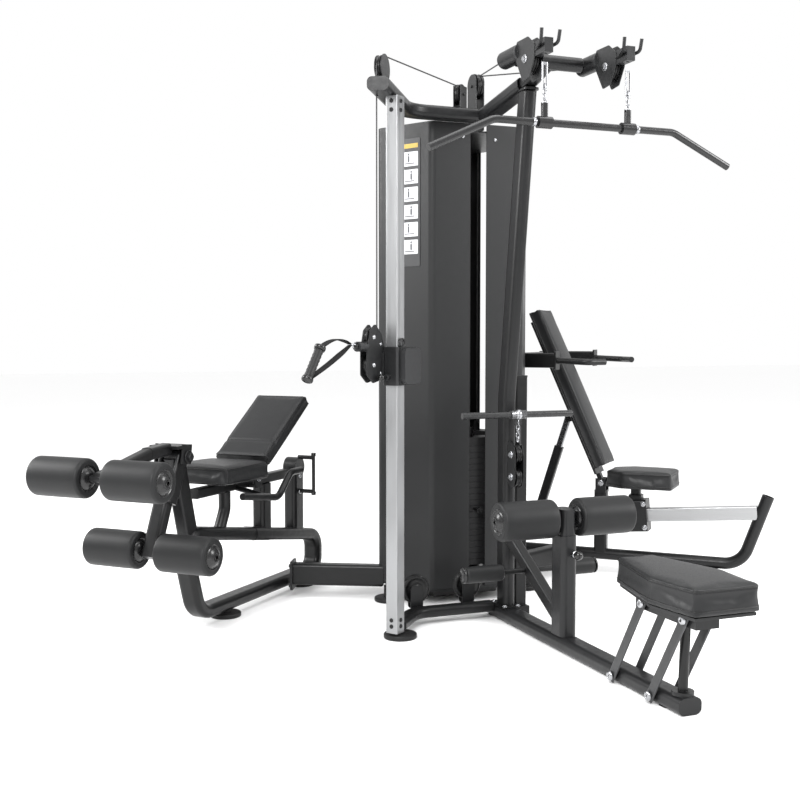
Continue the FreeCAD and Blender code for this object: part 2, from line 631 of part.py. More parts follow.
def make_column():
    """Silver column, its end brackets, and the carriage with its sheaves, pin and handle."""
    tube = hollow(COLUMN_W, COLUMN_W, 4, UP * 26, UP * 1980, ACROSS, 2.5)
    node("pulley_column", at_column(tube))
    gap = COLUMN_W / 2 + 0.6
    sleeve = prism(66, 66, 8, UP * (RIG_Z - RIG_HALF), UP * (RIG_Z + RIG_HALF))
    sleeve = sleeve.cut(prism(2 * gap, 2 * gap, 4, UP * 900, UP * 1200))
    guard = box(-90, 17, 32, 37, RIG_Z - 68, RIG_Z + 68)
    plate = outline([
        V(28, -31, RIG_Z - 45), V(100, -31, RIG_Z - 60), V(136, -31, RIG_Z - 30),
        V(136, -31, RIG_Z + 60), V(118, -31, RIG_Z + 130), V(86, -31, RIG_Z + 154),
        V(50, -31, RIG_Z + 120), V(28, -31, RIG_Z + 66),
    ]).extrude(V(0, 4, 0))
    corners = [e for e in plate.Edges if abs(e.tangentAt(e.FirstParameter).y) > 0.9]
    plate = plate.makeFillet(12, corners)
    axles = [
        rod(V(94, -64, RIG_Z + 105), V(94, -26, RIG_Z + 105), 6),
        rod(V(94, -64, RIG_Z + 5), V(94, -26, RIG_Z + 5), 6),
    ]
    far = plate.copy()
    far.translate(V(0, -28, 0))
    loop = Part.makeTorus(15, 4, V(0, 31, RIG_Z + RIG_HALF + 14), V(0, 1, 0))
    snout = ring(V(128, CABLE_Y, RIG_Z + 72), V(176, CABLE_Y, RIG_Z + 72), 18, 6)
    stop = box(128.5, 135, -55, -31, RIG_Z + 54, RIG_Z + 90)
    stop = stop.cut(rod(V(100, CABLE_Y, RIG_Z + 72), V(140, CABLE_Y, RIG_Z + 72), 6))
    link = box(20, 44, -60, -20, RIG_Z - 30, RIG_Z + 50)
    link = link.cut(prism(2 * gap, 2 * gap, 4, UP * 900, UP * 1200))
    rig = joined(sleeve, guard, link, plate, far, loop, *axles)
    lip = rod(V(27, -8, RIG_Z - 40), V(48, -8, RIG_Z - 40), 12)
    rig = joined(rig, lip).cut(rod(V(20, -8, RIG_Z - 40), V(60, -8, RIG_Z - 40), 5.5))
    rig = joined(rig, snout, stop)
    node("column_carriage", at_column(rig))
    for name, z in (("upper", RIG_Z + 105), ("lower", RIG_Z + 5)):
        wheel = sheave(V(94, CABLE_Y, z), ACROSS, 36, 19)
        node("carriage_sheave_" + name, at_column(wheel))
    pin = rod(V(29, -8, RIG_Z - 40), V(72, -8, RIG_Z - 40), 5)
    pull = Part.makeSphere(13, V(78, -8, RIG_Z - 40))
    node("carriage_pin", at_column(joined(pin, pull)))
    z = RIG_Z + 72
    top = V(388, CABLE_Y, RIG_Z + 66)
    low = V(452, CABLE_Y, RIG_Z - 31)
    neck = V(214, CABLE_Y, z + 8)
    grip = rod(top + (top - low) * 0.12, low + (low - top) * 0.12, 16)
    ends = [rod(top, top + (top - low) * 0.16, 18.5), rod(low, low + (low - top) * 0.16, 18.5)]
    straps = [prism(26, 4, 1.5, neck, top), prism(26, 4, 1.5, neck, low)]
    ball = rod(V(178, CABLE_Y, z), V(196, CABLE_Y, z), 9)
    clip = prism(8, 22, 3, V(194, CABLE_Y, z + 2), V(220, CABLE_Y, z + 8))
    node("pull_handle", at_column(joined(grip, *ends, *straps, ball, clip)))


def make_top_sheaves():
    """The sheaves over the column and the tower, and the cheeks that carry them."""
    along = COLUMN_RUN
    axle = V(-along.y, along.x, 0)
    node("column_sheave", sheave(TOP_SHEAVE, axle, 46, 20))
    cheeks = []
    base = TOP_SHEAVE - axle * 17
    cheeks.append(prism(4, 62, 1.5, base - UP * 56, base + UP * 34, axle))
    cheeks.append(rod(base - axle * 2, base + axle * 2, 50))
    cheeks.append(rod(base, TOP_SHEAVE + axle * 14, 6))
    node("top_brackets", joined(*cheeks))
    node("tower_sheave", sheave(TOWER_SHEAVE, ALONG, 50, 24))
    pieces = []
    for x in (-19, 15):
        side = prism(4, 84, 1.8, V(x + 2, -255, 1958), V(x + 2, -255, 2150), ALONG)
        head = rod(V(x, -255, 2146), V(x + 4, -255, 2146), 42)
        pieces += [side, head]
    pieces.append(rod(V(-24, -255, 2140), V(24, -255, 2140), 6))
    node("top_brackets", joined(*pieces))
    turn = V(math.cos(math.radians(128)), math.sin(math.radians(128)), 0)
    side = V(turn.y, -turn.x, 0)
    node("turn_sheave", sheave(TURN_SHEAVE, turn, 40, 20))
    pieces = []
    for off in (-17, 13):
        foot = TURN_SHEAVE + turn * (off + 2)
        foot.z = 2030
        pieces.append(prism(4, 56, 1.8, foot, foot + UP * 88, turn))
    pieces.append(rod(TURN_SHEAVE - turn * 22, TURN_SHEAVE + turn * 22, 6))
    node("top_brackets", joined(*pieces))


# ---------------------------------------------------------------- leg station

LEG_PIVOT = V(1138, LEG_LINE, 677)
THIGH_AXLE = V(1560, LEG_LINE, 641)
ANKLE_AXLE = V(1279, LEG_LINE, 347)
BACK_HINGE = V(640, LEG_LINE, 540)
BACK_LEAN = 34.0


def leg(shape):
    return turned(shape, LEG_HEADING)


def make_leg_station():
    """Ring frame, seat posts, seat and back pads, lever, hold-down arm and foam rollers."""
    y = LEG_LINE
    ring_pts = [
        V(600, y, 301), V(1110, y, 385), V(1005, y, 56), V(62, y, 56), V(62, y, 213), V(520, y, 288),
    ]
    radii = [70, 90, 60, 70]
    loop = swept(ring_pts, radii, rounded(TUBE_H, TUBE_W, TUBE_R), ACROSS)
    close = prism(TUBE_W + 4, TUBE_H + 4, TUBE_R + 2, V(500, y, 284.7), V(620, y, 304.3))
    front = prism(50, 80, 14, V(1056, y, 372), LEG_PIVOT)
    yoke = rod(LEG_PIVOT - ACROSS * 29, LEG_PIVOT + ACROSS * 29, 26)
    rear = prism(60, 88, 18, V(238, y, 250), V(238, y, 540))
    crown = rod(V(238, y - 30, 540), V(238, y + 30, 540), 44)
    middle = prism(56, 76, 16, V(512, y, 295), V(512, y, 500))
    post = bent_bar([V(845, y, 345), V(800, y, 430), V(800, y, 500)], [60], 24, ACROSS)
    rail = prism(40, 40, 8, V(230, y, 520), V(1010, y, 520))
    ears = []
    for off in (-62, 54):
        ear = prism(8, 54, 3, V(BACK_HINGE.x, y + off + 4, 500), V(BACK_HINGE.x, y + off + 4, 562))
        ears.append(ear)
    ears.append(box(BACK_HINGE.x - 20, BACK_HINGE.x + 20, y - 58, y + 58, 502, 518))
    frame = joined(loop, close, front, yoke, rear, crown, middle, post, rail, *ears)
    frame = frame.cut(rod(BACK_HINGE - ACROSS * 90, BACK_HINGE + ACROSS * 90, 8.05))
    frame = frame.cut(rod(LEG_PIVOT - ACROSS * 90, LEG_PIVOT + ACROSS * 90, 12.05))
    frame = frame.cut(rod(LEG_PIVOT - ACROSS * 90, LEG_PIVOT - ACROSS * 29.5, 80))
    frame = frame.cut(rod(LEG_PIVOT + ACROSS * 29.5, LEG_PIVOT + ACROSS * 90, 80))
    node("leg_frame", leg(frame))

    grips = []
    for side in (-1, 1):
        o = y + side * 165
        bar = bent_bar([V(930, o, 508), V(660, o, 470), V(560, o, 560), V(470, o, 560)],
                       [60, 60], 14, ACROSS)
        tie = rod(V(740, y + side * 18, 510), V(740, o, 481), 11)
        grips += [bar, tie]
    node("leg_frame", *[leg(joined(grips[i], grips[i + 1]).cut(rail)) for i in (0, 2)])

    pad = prism(300, 76, 26, V(690, y, 582), V(1004, y, 590))
    node("leg_seat_pad", leg(pad.cut(rail)))

    lean = math.radians(BACK_LEAN)
    up = V(-math.cos(lean), 0, math.sin(lean))
    out = V(math.sin(lean), 0, math.cos(lean))
    start = V(654, LEG_LINE, 592)
    board = prism(200, 10, 4, start - out * 8, start + up * 400 - out * 8)
    pad = prism(262, 58, 20, start + out * 26.2, start + up * 415 + out * 26.2)
    hinge = rod(BACK_HINGE - ACROSS * 70, BACK_HINGE + ACROSS * 70, 8)
    arms = [prism(10, 40, 4, BACK_HINGE + ACROSS * off, start + up * 120 - out * 12 + ACROSS * off)
            for off in (-40, 40)]
    board = joined(board, hinge, *arms)
    node("leg_back_board", leg(board))
    node("leg_back_pad", leg(pad.cut(board)))

    down = ANKLE_AXLE - LEG_PIVOT
    pieces = []
    for off in (-38, 38):
        pieces.append(prism(14, 62, 6, LEG_PIVOT + ACROSS * off, LEG_PIVOT + down * 0.42 + ACROSS * off))
        pieces.append(rod(LEG_PIVOT + ACROSS * (off - 7), LEG_PIVOT + ACROSS * (off + 7), 30))
    pieces.append(prism(62, 50, 14, LEG_PIVOT + down * 0.36, ANKLE_AXLE + down * 0.07))
    pieces.append(prism(90, 50, 8, LEG_PIVOT + down * 0.36, LEG_PIVOT + down * 0.5))
    pieces.append(rod(LEG_PIVOT - ACROSS * 52, LEG_PIVOT + ACROSS * 52, 12))
    reach = ACROSS * (FOAM_IN + FOAM_L + 6)
    pieces.append(rod(ANKLE_AXLE - reach, ANKLE_AXLE + reach, AXLE_R))
    node("leg_lever", leg(joined(*pieces)))
    for name, axle in (("ankle_rollers", ANKLE_AXLE), ("thigh_rollers", THIGH_AXLE)):
        pair = foam_pair(axle.x, axle.z, y, FOAM_IN)
        node(name, leg(pair[0]), leg(pair[1]))

    elbow = V(1300, y, 700)
    arm = [
        prism(50, 44, 12, V(1186, y, 708), elbow),
        prism(46, 44, 12, elbow - V(10, 0, 0), THIGH_AXLE + V(4, 0, 0)),
    ]
    for off in (-58, 58):
        ear = LEG_PIVOT + ACROSS * off
        arm.append(prism(8, 60, 3, ear + V(10, 0, -26), ear + UP * 44))
    arm.append(box(LEG_PIVOT.x - 26, LEG_PIVOT.x + 64, y - 62, y + 62, 709, 721))
    arm.append(rod(THIGH_AXLE - reach, THIGH_AXLE + reach, AXLE_R))
    arm = joined(*arm)
    arm = arm.cut(rod(LEG_PIVOT - ACROSS * 53, LEG_PIVOT + ACROSS * 53, 31.5))
    node("thigh_arm", leg(arm.cut(rod(LEG_PIVOT - ACROSS * 90, LEG_PIVOT + ACROSS * 90, 12.3))))


# ---------------------------------------------------------------- press station

PRESS_HINGE = V(523, PRESS_LINE, 427)
PRESS_PIVOT = V(50, PRESS_LINE, 1010)
ARM_SPREAD = 350.0
STRUT_FOOT = V(215, PRESS_LINE, 274)
RAIL_A = V(520, PRESS_LINE, 268)
RAIL_B = V(1232, PRESS_LINE, 326)


def press(shape):
    return turned(shape, PRESS_HEADING)


def make_press_station():
    """Floor tube, yoke post, rail, sliding seat, hinged back, strut and the press arms."""
    y = PRESS_LINE
    line = [V(-20, y, 85), V(1165, y, 85), V(1277, y, 402)]
    floor = bent_bar(line, [110], 27, ACROSS).cut(bent_bar(line, [110], 23, ACROSS))
    post = prism(60, 80, 16, V(50, y, 90), V(50, y, 955))
    cheeks = [prism(8, 84, 3, V(50, y + o, 930), V(50, y + o, 1048)) for o in (-30, 30)]
    stand = prism(50, 60, 10, V(520, y, 90), V(520, y, 392))
    ears = [prism(8, 50, 3, V(523, y + o, 380), V(523, y + o, 448)) for o in (-30, 30)]
    base = prism(44, 44, 8, V(70, y, 230), V(520, y, 230))
    cup = []
    for o in (-22, 22):
        cup.append(prism(8, 40, 3, V(STRUT_FOOT.x, y + o, 245), V(STRUT_FOOT.x, y + o, STRUT_FOOT.z + 16)))
    cup.append(rod(STRUT_FOOT - ACROSS * 30, STRUT_FOOT + ACROSS * 30, 8))
    frame = joined(floor, post, *cheeks, stand, *ears, base, *cup)
    rail = prism(50, 62, 5, RAIL_A, RAIL_B)
    frame = frame.cut(rail)
    frame = frame.cut(rod(PRESS_HINGE - ACROSS * 60, PRESS_HINGE + ACROSS * 60, 8.05))
    frame = frame.cut(rod(PRESS_PIVOT - ACROSS * 60, PRESS_PIVOT + ACROSS * 60, 14.05))
    node("press_frame", press(frame))
    node("press_rail", press(rail))

    way = RAIL_B - RAIL_A
    way.normalize()
    mid = RAIL_A + way * 165
    body = prism(90, 150, 10, mid - way * 60, mid + way * 60)
    body = body.cut(prism(52, 64, 5, mid - way * 100, mid + way * 100))
    socket = prism(66, 60, 8, V(685, y, 345), V(685, y, 378))
    seat_post = prism(40, 44, 6, V(685, y, 372), V(685, y, 412))
    node("press_carriage", press(joined(body, socket.cut(body), seat_post)))
    plan = [V(552, y - 75, 414), V(640, y - 132, 414), V(872, y - 120, 428),
            V(872, y + 120, 428), V(640, y + 132, 414), V(552, y + 75, 414)]
    seat = outline([V(p.x, p.y, 414) for p in plan]).extrude(UP * 82)
    upright = [e for e in seat.Edges if abs(e.tangentAt(e.FirstParameter).z) > 0.9]
    seat = seat.makeFillet(16, upright)
    seat = seat.makeFillet(10, [e for e in seat.Edges if e.BoundBox.ZMin > 490])
    node("press_seat_pad", press(seat.cut(seat_post)))

    lean = math.radians(24)
    up = V(-math.sin(lean), 0, math.cos(lean))
    out = V(math.cos(lean), 0, math.sin(lean))
    start = PRESS_HINGE + up * 46 + out * 6
    board = prism(150, 12, 4, start, start + up * 780)
    tongue = prism(44, 20, 6, PRESS_HINGE, start + up * 120)
    hinge = rod(PRESS_HINGE - ACROSS * 40, PRESS_HINGE + ACROSS * 40, 8)
    ears = []
    pad = prism(225, 62, 16, start + out * 37.2 + up * 20, start + out * 37.2 + up * 826)
    node("press_back_pad", press(pad.cut(tongue)))
    tip = start + up * 300 - out * 34
    for off in (-22, 22):
        root = start + up * 290 + out * 2 + ACROSS * off
        ears.append(prism(8, 40, 3, root, tip - out * 10 + ACROSS * off))
    ears.append(rod(tip - ACROSS * 32, tip + ACROSS * 32, 6))
    node("press_back_board", press(joined(board, tongue, hinge, *ears)))

    lean = tip - STRUT_FOOT
    lean.normalize()
    tube = hollow(34, 42, 6, STRUT_FOOT + lean * 14, STRUT_FOOT + lean * 330, ACROSS, 4)
    eye = rod(STRUT_FOOT - ACROSS * 17, STRUT_FOOT + ACROSS * 17, 17)
    eye = joined(tube, eye).cut(rod(STRUT_FOOT - ACROSS * 20, STRUT_FOOT + ACROSS * 20, 8.05))
    node("press_strut_outer", press(eye))
    bar = prism(24, 30, 4, STRUT_FOOT + lean * 150, tip + lean * 16)
    node("press_strut_inner", press(bar.cut(rod(tip - ACROSS * 20, tip + ACROSS * 20, 10.5))))

    pivot = rod(PRESS_PIVOT - ACROSS * 60, PRESS_PIVOT + ACROSS * 60, 14)
    yoke = [pivot, prism(46, 60, 10, PRESS_PIVOT, PRESS_PIVOT + V(92, 0, 0))]
    yoke.append(rod(PRESS_PIVOT + V(92, -ARM_SPREAD, 0), PRESS_PIVOT + V(92, ARM_SPREAD, 0), 30))
    for side in (-1, 1):
        o = ACROSS * (side * ARM_SPREAD)
        inner = PRESS_PIVOT + V(92, 0, 0) + o
        yoke.append(prism(50, 66, 10, inner - V(30, 0, 0), inner + V(250, 0, 0)))
        yoke.append(prism(66, 82, 6, inner + V(250, 0, 0), inner + V(258, 0, 0)))
        pts = [inner + V(250, 0, 0), inner + V(395, 0, -6), inner + V(455, -side * 70, -6)]
        yoke.append(bent_bar(pts, [40], 14, (pts[1] - pts[0]).cross(pts[2] - pts[1]).normalize()))
    node("press_arms", press(joined(*yoke)))


# ---------------------------------------------------------------- cables

def make_cables():
    """The taut steel cables over the tower, inside the shrouds and along the column."""
    r = 2.6
    runs = []
    top_z = STACK_Z0 + (RESTING + LIFTED) * PLATE_PITCH + 50
    runs.append((V(0, -STACK_D, top_z + 3), V(0, -STACK_D, 2136)))
    for side in (-1, 1):
        runs.append((V(side * 4, -300, 2174), V(side * BLOCK_Y, -832, HEAD_Z + 2)))
    node("column_cable", rod(DROP, V(DROP.x, DROP.y, RIG_Z + 105), r))
    runs.append((TOP_SHEAVE + V(10, 6, 49), TURN_SHEAVE + V(-24, -18, 30)))
    runs.append((V(LOW_ROW.x, LOW_ROW.y, 702), V(LOW_ROW.x, LOW_ROW.y, ROW_BAR_Z - 42)))
    for heading in (30, 150):
        foot = turned(Part.Vertex(V(STACK_D, 0, top_z + 3)), heading).Point
        runs.append((foot, V(foot.x, foot.y, 1949)))
    for start, end in runs:
        node("cables", rod(start, end, r))


def make_all():
    make_tower()
    make_stacks()
    make_base()
    make_feet()
    make_mast()
    make_lat_head()
    make_lat_bar()
    make_row_parts()
    make_row_seat()
    make_column()
    make_top_sheaves()
    make_leg_station()
    make_press_station()
    make_cables()


make_all()
os.makedirs("parts", exist_ok=True)
for name, solids in NODES.items():
    shape = solids[0] if len(solids) == 1 else Part.makeCompound(solids)
    if not shape.isValid():
        print("not valid:", name)
    shape.exportStep(os.path.join("parts", name + ".step"))
    print(name, len(shape.Solids), round(shape.Volume / 1000.0), "cm3")
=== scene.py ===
import json
import math

import bmesh
import bpy
import numpy as np
from mathutils import Matrix, Vector


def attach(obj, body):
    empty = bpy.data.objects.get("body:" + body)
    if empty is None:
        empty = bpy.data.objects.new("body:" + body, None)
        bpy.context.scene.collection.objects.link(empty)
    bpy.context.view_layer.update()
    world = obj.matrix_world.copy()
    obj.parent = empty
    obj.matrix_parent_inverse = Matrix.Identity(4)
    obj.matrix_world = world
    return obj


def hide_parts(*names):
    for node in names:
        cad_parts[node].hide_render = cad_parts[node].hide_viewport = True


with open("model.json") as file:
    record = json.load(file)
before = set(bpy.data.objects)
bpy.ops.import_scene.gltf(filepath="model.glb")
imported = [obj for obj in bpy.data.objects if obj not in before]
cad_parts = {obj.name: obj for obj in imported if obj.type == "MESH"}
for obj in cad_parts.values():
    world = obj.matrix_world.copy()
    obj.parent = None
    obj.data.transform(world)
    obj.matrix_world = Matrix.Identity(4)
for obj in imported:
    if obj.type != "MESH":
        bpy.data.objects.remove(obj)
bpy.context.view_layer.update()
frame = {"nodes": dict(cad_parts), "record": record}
nodes = frame["nodes"]

UP = Vector((0, 0, 1))
# The stations' headings in degrees, and places that several pieces share, in metres
ROW = -90.0
LEG = 225.0
PRESS = -45.0
COLUMN = 214.5
COLUMN_AT = Vector((-0.513, -0.668, 0))
LEG_LINE = -0.65
PRESS_LINE = 0.65
CABLE_LINE = -0.043
CARD_HEADING = 210.0
LEG_BACK_LEAN = math.radians(34)
PRESS_BACK_LEAN = math.radians(24)
CUSHION_VOXEL = 0.006
CUSHION_PUSH = 0.004


def station(heading, along, across, z):
    """A point given in a station's own axes, in the frame's."""
    turn = Matrix.Rotation(math.radians(heading), 3, "Z")
    return turn @ Vector((along, across, z))


def way(heading, along, across, z=0.0):
    """A unit direction given in a station's own axes."""
    return station(heading, along, across, z).normalized()


# ------------------------------------------------------------------ materials

def material(name, colour, rough, metal=0.0):
    """A new node material, with its tree and its shader."""
    mat = bpy.data.materials.new(name)
    mat.use_nodes = True
    tree = mat.node_tree
    shader = tree.nodes["Principled BSDF"]
    shader.inputs["Base Color"].default_value = (*colour, 1)
    shader.inputs["Roughness"].default_value = rough
    shader.inputs["Metallic"].default_value = metal
    return mat, tree, shader


def coords(tree, scale=(1, 1, 1)):
    where = tree.nodes.new("ShaderNodeTexCoord")
    mapping = tree.nodes.new("ShaderNodeMapping")
    mapping.inputs["Scale"].default_value = scale
    tree.links.new(where.outputs["Object"], mapping.inputs["Vector"])
    return mapping.outputs["Vector"]


def noise(tree, vector, scale, detail=3.0):
    n = tree.nodes.new("ShaderNodeTexNoise")
    n.inputs["Scale"].default_value = scale
    n.inputs["Detail"].default_value = detail
    tree.links.new(vector, n.inputs["Vector"])
    return n.outputs["Fac"]


def spread(tree, value, low, high):
    """Maps a 0 to 1 value onto low to high."""
    r = tree.nodes.new("ShaderNodeMapRange")
    r.inputs["To Min"].default_value = low
    r.inputs["To Max"].default_value = high
    r.inputs["From Min"].default_value = 0.3
    r.inputs["From Max"].default_value = 0.7
    tree.links.new(value, r.inputs["Value"])
    return r.outputs["Result"]


def tint(tree, value, dark, light):
    """Mixes two colours by a 0 to 1 value."""
    m = tree.nodes.new("ShaderNodeMix")
    m.data_type = "RGBA"
    m.inputs["A"].default_value = (*dark, 1)
    m.inputs["B"].default_value = (*light, 1)
    tree.links.new(value, m.inputs["Factor"])
    return m.outputs["Result"]


def feed(tree, output, shader, socket):
    """Links a node's output to one of the shader's sockets."""
    tree.links.new(output, shader.inputs[socket])


def mottle(tree, value, colour, dark, light):
    """A colour that wanders between a darker and a lighter share of itself."""
    return tint(tree, value, [c * dark for c in colour], [c * light for c in colour])


def bump(tree, shader, height, strength, distance):
    b = tree.nodes.new("ShaderNodeBump")
    b.inputs["Strength"].default_value = strength
    b.inputs["Distance"].default_value = distance
    tree.links.new(height, b.inputs["Height"])
    tree.links.new(b.outputs["Normal"], shader.inputs["Normal"])
    return b


def rounded_edges(tree, bump_node, radius):
    """Softens the shading of sharp edges, as on filed and coated metal."""
    edge = tree.nodes.new("ShaderNodeBevel")
    edge.samples = 4
    edge.inputs["Radius"].default_value = radius
    tree.links.new(edge.outputs["Normal"], bump_node.inputs["Normal"])


def powder_coat(name, dark, light, rough, gloss=0.3):
    """Powder coated steel: orange peel, faint cloudiness and a painted highlight that colours sharp edges
    lighter.
    """
    mat, tree, shader = material(name, light, rough)
    vector = coords(tree)
    cloud = noise(tree, vector, 5.0)
    # Painted highlight: the colour turns lighter on sharp convex edges, found by their pointiness.
    edge = tree.nodes.new("ShaderNodeNewGeometry")
    painted_edge_highlight = tree.nodes.new("ShaderNodeMapRange")
    painted_edge_highlight.inputs["From Min"].default_value = 0.52
    painted_edge_highlight.inputs["From Max"].default_value = 0.6
    painted_edge_highlight.inputs["To Max"].default_value = 0.5
    tree.links.new(edge.outputs["Pointiness"], painted_edge_highlight.inputs["Value"])
    body = tint(tree, cloud, dark, light)
    m = tree.nodes.new("ShaderNodeMix")
    m.data_type = "RGBA"
    tree.links.new(painted_edge_highlight.outputs["Result"], m.inputs["Factor"])
    tree.links.new(body, m.inputs["A"])
    m.inputs["B"].default_value = (*[c * 2.2 for c in light], 1)
    feed(tree, m.outputs["Result"], shader, "Base Color")
    feed(tree, spread(tree, noise(tree, vector, 60.0), rough - 0.05, rough + 0.07), shader, "Roughness")
    peel = bump(tree, shader, noise(tree, vector, 900.0, 2.0), 0.06, 0.0003)
    rounded_edges(tree, peel, 0.0022)
    shader.inputs["Specular IOR Level"].default_value = gloss
    return mat


def brushed(name, colour, rough, grain):
    """Bare or anodised metal with a fine drawn grain."""
    mat, tree, shader = material(name, colour, rough, 1.0)
    vector = coords(tree, grain)
    lines = noise(tree, vector, 220.0, 2.0)
    feed(tree, spread(tree, lines, rough - 0.06, rough + 0.1), shader, "Roughness")
    feed(tree, mottle(tree, lines, colour, 0.86, 1.0), shader, "Base Color")
    b = bump(tree, shader, lines, 0.03, 0.0002)
    rounded_edges(tree, b, 0.0012)
    return mat


def moulded(name, colour, rough, sheen=0.0, gloss=0.35):
    """Moulded plastic or rubber with a fine spark texture."""
    mat, tree, shader = material(name, colour, rough)
    vector = coords(tree)
    feed(tree, spread(tree, noise(tree, vector, 90.0), rough - 0.05, rough + 0.08), shader, "Roughness")
    feed(tree, mottle(tree, noise(tree, vector, 9.0), colour, 0.8, 1.15), shader, "Base Color")
    b = bump(tree, shader, noise(tree, vector, 1400.0, 2.0), 0.05, 0.0002)
    rounded_edges(tree, b, 0.0012)
    shader.inputs["Sheen Weight"].default_value = sheen
    shader.inputs["Specular IOR Level"].default_value = gloss
    return mat


def vinyl(name, colour):
    """Upholstery vinyl: pebbled grain and soft creases."""
    mat, tree, shader = material(name, colour, 0.46)
    vector = coords(tree)
    cells = tree.nodes.new("ShaderNodeTexVoronoi")
    cells.feature = "SMOOTH_F1"
    cells.inputs["Scale"].default_value = 420.0
    tree.links.new(vector, cells.inputs["Vector"])
    folds = noise(tree, vector, 26.0, 4.0)
    both = tree.nodes.new("ShaderNodeMath")
    both.operation = "MULTIPLY_ADD"
    both.inputs[1].default_value = 0.45
    tree.links.new(cells.outputs["Distance"], both.inputs[0])
    tree.links.new(folds, both.inputs[2])
    bump(tree, shader, both.outputs["Value"], 0.3, 0.0011)
    feed(tree, mottle(tree, folds, colour, 0.78, 1.2), shader, "Base Color")
    feed(tree, spread(tree, cells.outputs["Distance"], 0.38, 0.52), shader, "Roughness")
    shader.inputs["Specular IOR Level"].default_value = 0.3
    return mat


def foam_skin(name, colour):
    """Closed cell foam: fine pores, faint mottling and a satin skin."""
    mat, tree, shader = material(name, colour, 0.5)
    vector = coords(tree)
    pores = noise(tree, vector, 700.0, 3.0)
    bump(tree, shader, pores, 0.25, 0.0006)
    feed(tree, mottle(tree, noise(tree, vector, 18.0, 4.0), colour, 0.82, 1.2), shader, "Base Color")
    feed(tree, spread(tree, pores, 0.42, 0.58), shader, "Roughness")
    shader.inputs["Specular IOR Level"].default_value = 0.28
    return mat


def webbing(name, colour):
    """Woven strap: crossing ribs."""
    mat, tree, shader = material(name, colour, 0.8)
    vector = coords(tree)
    ribs = tree.nodes.new("ShaderNodeTexWave")
    ribs.inputs["Scale"].default_value = 240.0
    ribs.inputs["Distortion"].default_value = 0.6
    ribs.bands_direction = "DIAGONAL"
    tree.links.new(vector, ribs.inputs["Vector"])
    bump(tree, shader, ribs.outputs["Fac"], 0.3, 0.0004)
    feed(tree, mottle(tree, ribs.outputs["Fac"], colour, 0.6, 1.0), shader, "Base Color")
    shader.inputs["Specular IOR Level"].default_value = 0.2
    return mat


def hanger_finish(name, below, collar, chain):
    """Satin black collars under a given height, bright plated chain above it."""
    mat, tree, shader = material(name, chain, 0.24)
    where = tree.nodes.new("ShaderNodeTexCoord")
    split = tree.nodes.new("ShaderNodeSeparateXYZ")
    tree.links.new(where.outputs["Object"], split.inputs["Vector"])
    above = tree.nodes.new("ShaderNodeMath")
    above.operation = "GREATER_THAN"
    above.inputs[1].default_value = below
    tree.links.new(split.outputs["Z"], above.inputs[0])
    feed(tree, tint(tree, above.outputs["Value"], collar, chain), shader, "Base Color")
    feed(tree, above.outputs["Value"], shader, "Metallic")
    vector = coords(tree)
    feed(tree, spread(tree, noise(tree, vector, 120.0), 0.2, 0.32), shader, "Roughness")
    bump(tree, shader, noise(tree, vector, 700.0), 0.04, 0.0002)
    return mat


def wire_rope(name):
    """Coated cable: the strands show through as a fine slanting ripple."""
    mat, tree, shader = material(name, (0.02, 0.02, 0.021), 0.4)
    vector = coords(tree)
    lay = tree.nodes.new("ShaderNodeTexWave")
    lay.bands_direction = "DIAGONAL"
    lay.inputs["Scale"].default_value = 160.0
    tree.links.new(vector, lay.inputs["Vector"])
    bump(tree, shader, lay.outputs["Fac"], 0.4, 0.0005)
    strands = tint(tree, lay.outputs["Fac"], (0.010, 0.010, 0.0105), (0.03, 0.03, 0.031))
    feed(tree, strands, shader, "Base Color")
    return mat


COAT = powder_coat("charcoal_coat", (0.0035, 0.0036, 0.0038), (0.0065, 0.0066, 0.007), 0.34)
SHROUD = powder_coat("shroud_coat", (0.0075, 0.0077, 0.008), (0.0105, 0.0107, 0.011), 0.4, 0.26)
LINK = powder_coat("link_coat", (0.022, 0.0225, 0.023), (0.034, 0.0345, 0.036), 0.4)
CHEEK = powder_coat("cheek_coat", (0.008, 0.0082, 0.0086), (0.013, 0.0133, 0.014), 0.36)
STACK = powder_coat("plate_coat", (0.003, 0.003, 0.0032), (0.006, 0.006, 0.0063), 0.5)
SILVER = brushed("silver_column", (0.36, 0.364, 0.37), 0.38, (1, 1, 0.02))
RAIL = brushed("rail_aluminium", (0.46, 0.464, 0.47), 0.38, (0.02, 0.02, 1))
CHROME = brushed("chrome_plate", (0.40, 0.405, 0.42), 0.2, (1, 1, 1))
BAR = powder_coat("bar_finish", (0.006, 0.006, 0.0064), (0.010, 0.0102, 0.0106), 0.26, 0.45)
NYLON = moulded("pulley_nylon", (0.004, 0.004, 0.0043), 0.3)
KNOB = moulded("knob_plastic", (0.004, 0.004, 0.0042), 0.18, gloss=0.5)
CAP = moulded("roller_cap_plastic", (0.007, 0.007, 0.0074), 0.24, gloss=0.45)
RUBBER = moulded("foot_rubber", (0.005, 0.005, 0.0052), 0.55, 0.02)
GRIP = moulded("grip_rubber", (0.007, 0.007, 0.0073), 0.5, 0.02)
VINYL = vinyl("pad_vinyl", (0.0115, 0.0118, 0.0124))
PIPING = moulded("seam_vinyl", (0.004, 0.004, 0.0042), 0.36)
THREAD = webbing("seam_thread", (0.016, 0.016, 0.017))
FOAM = foam_skin("roller_foam", (0.0085, 0.0088, 0.0092))
STRAP = webbing("strap_webbing", (0.007, 0.007, 0.0074))
ROPE = wire_rope("cable_rope")
HANGER = hanger_finish("hanger_finish", 1.893, (0.006, 0.006, 0.0063), (0.40, 0.405, 0.42))
WHITE = moulded("card_white", (0.62, 0.63, 0.64), 0.4)
CARD = moulded("card_grey", (0.035, 0.0355, 0.037), 0.4)
YELLOW = moulded("card_yellow", (0.45, 0.31, 0.05), 0.4)
INK = moulded("card_ink", (0.10, 0.10, 0.11), 0.5)

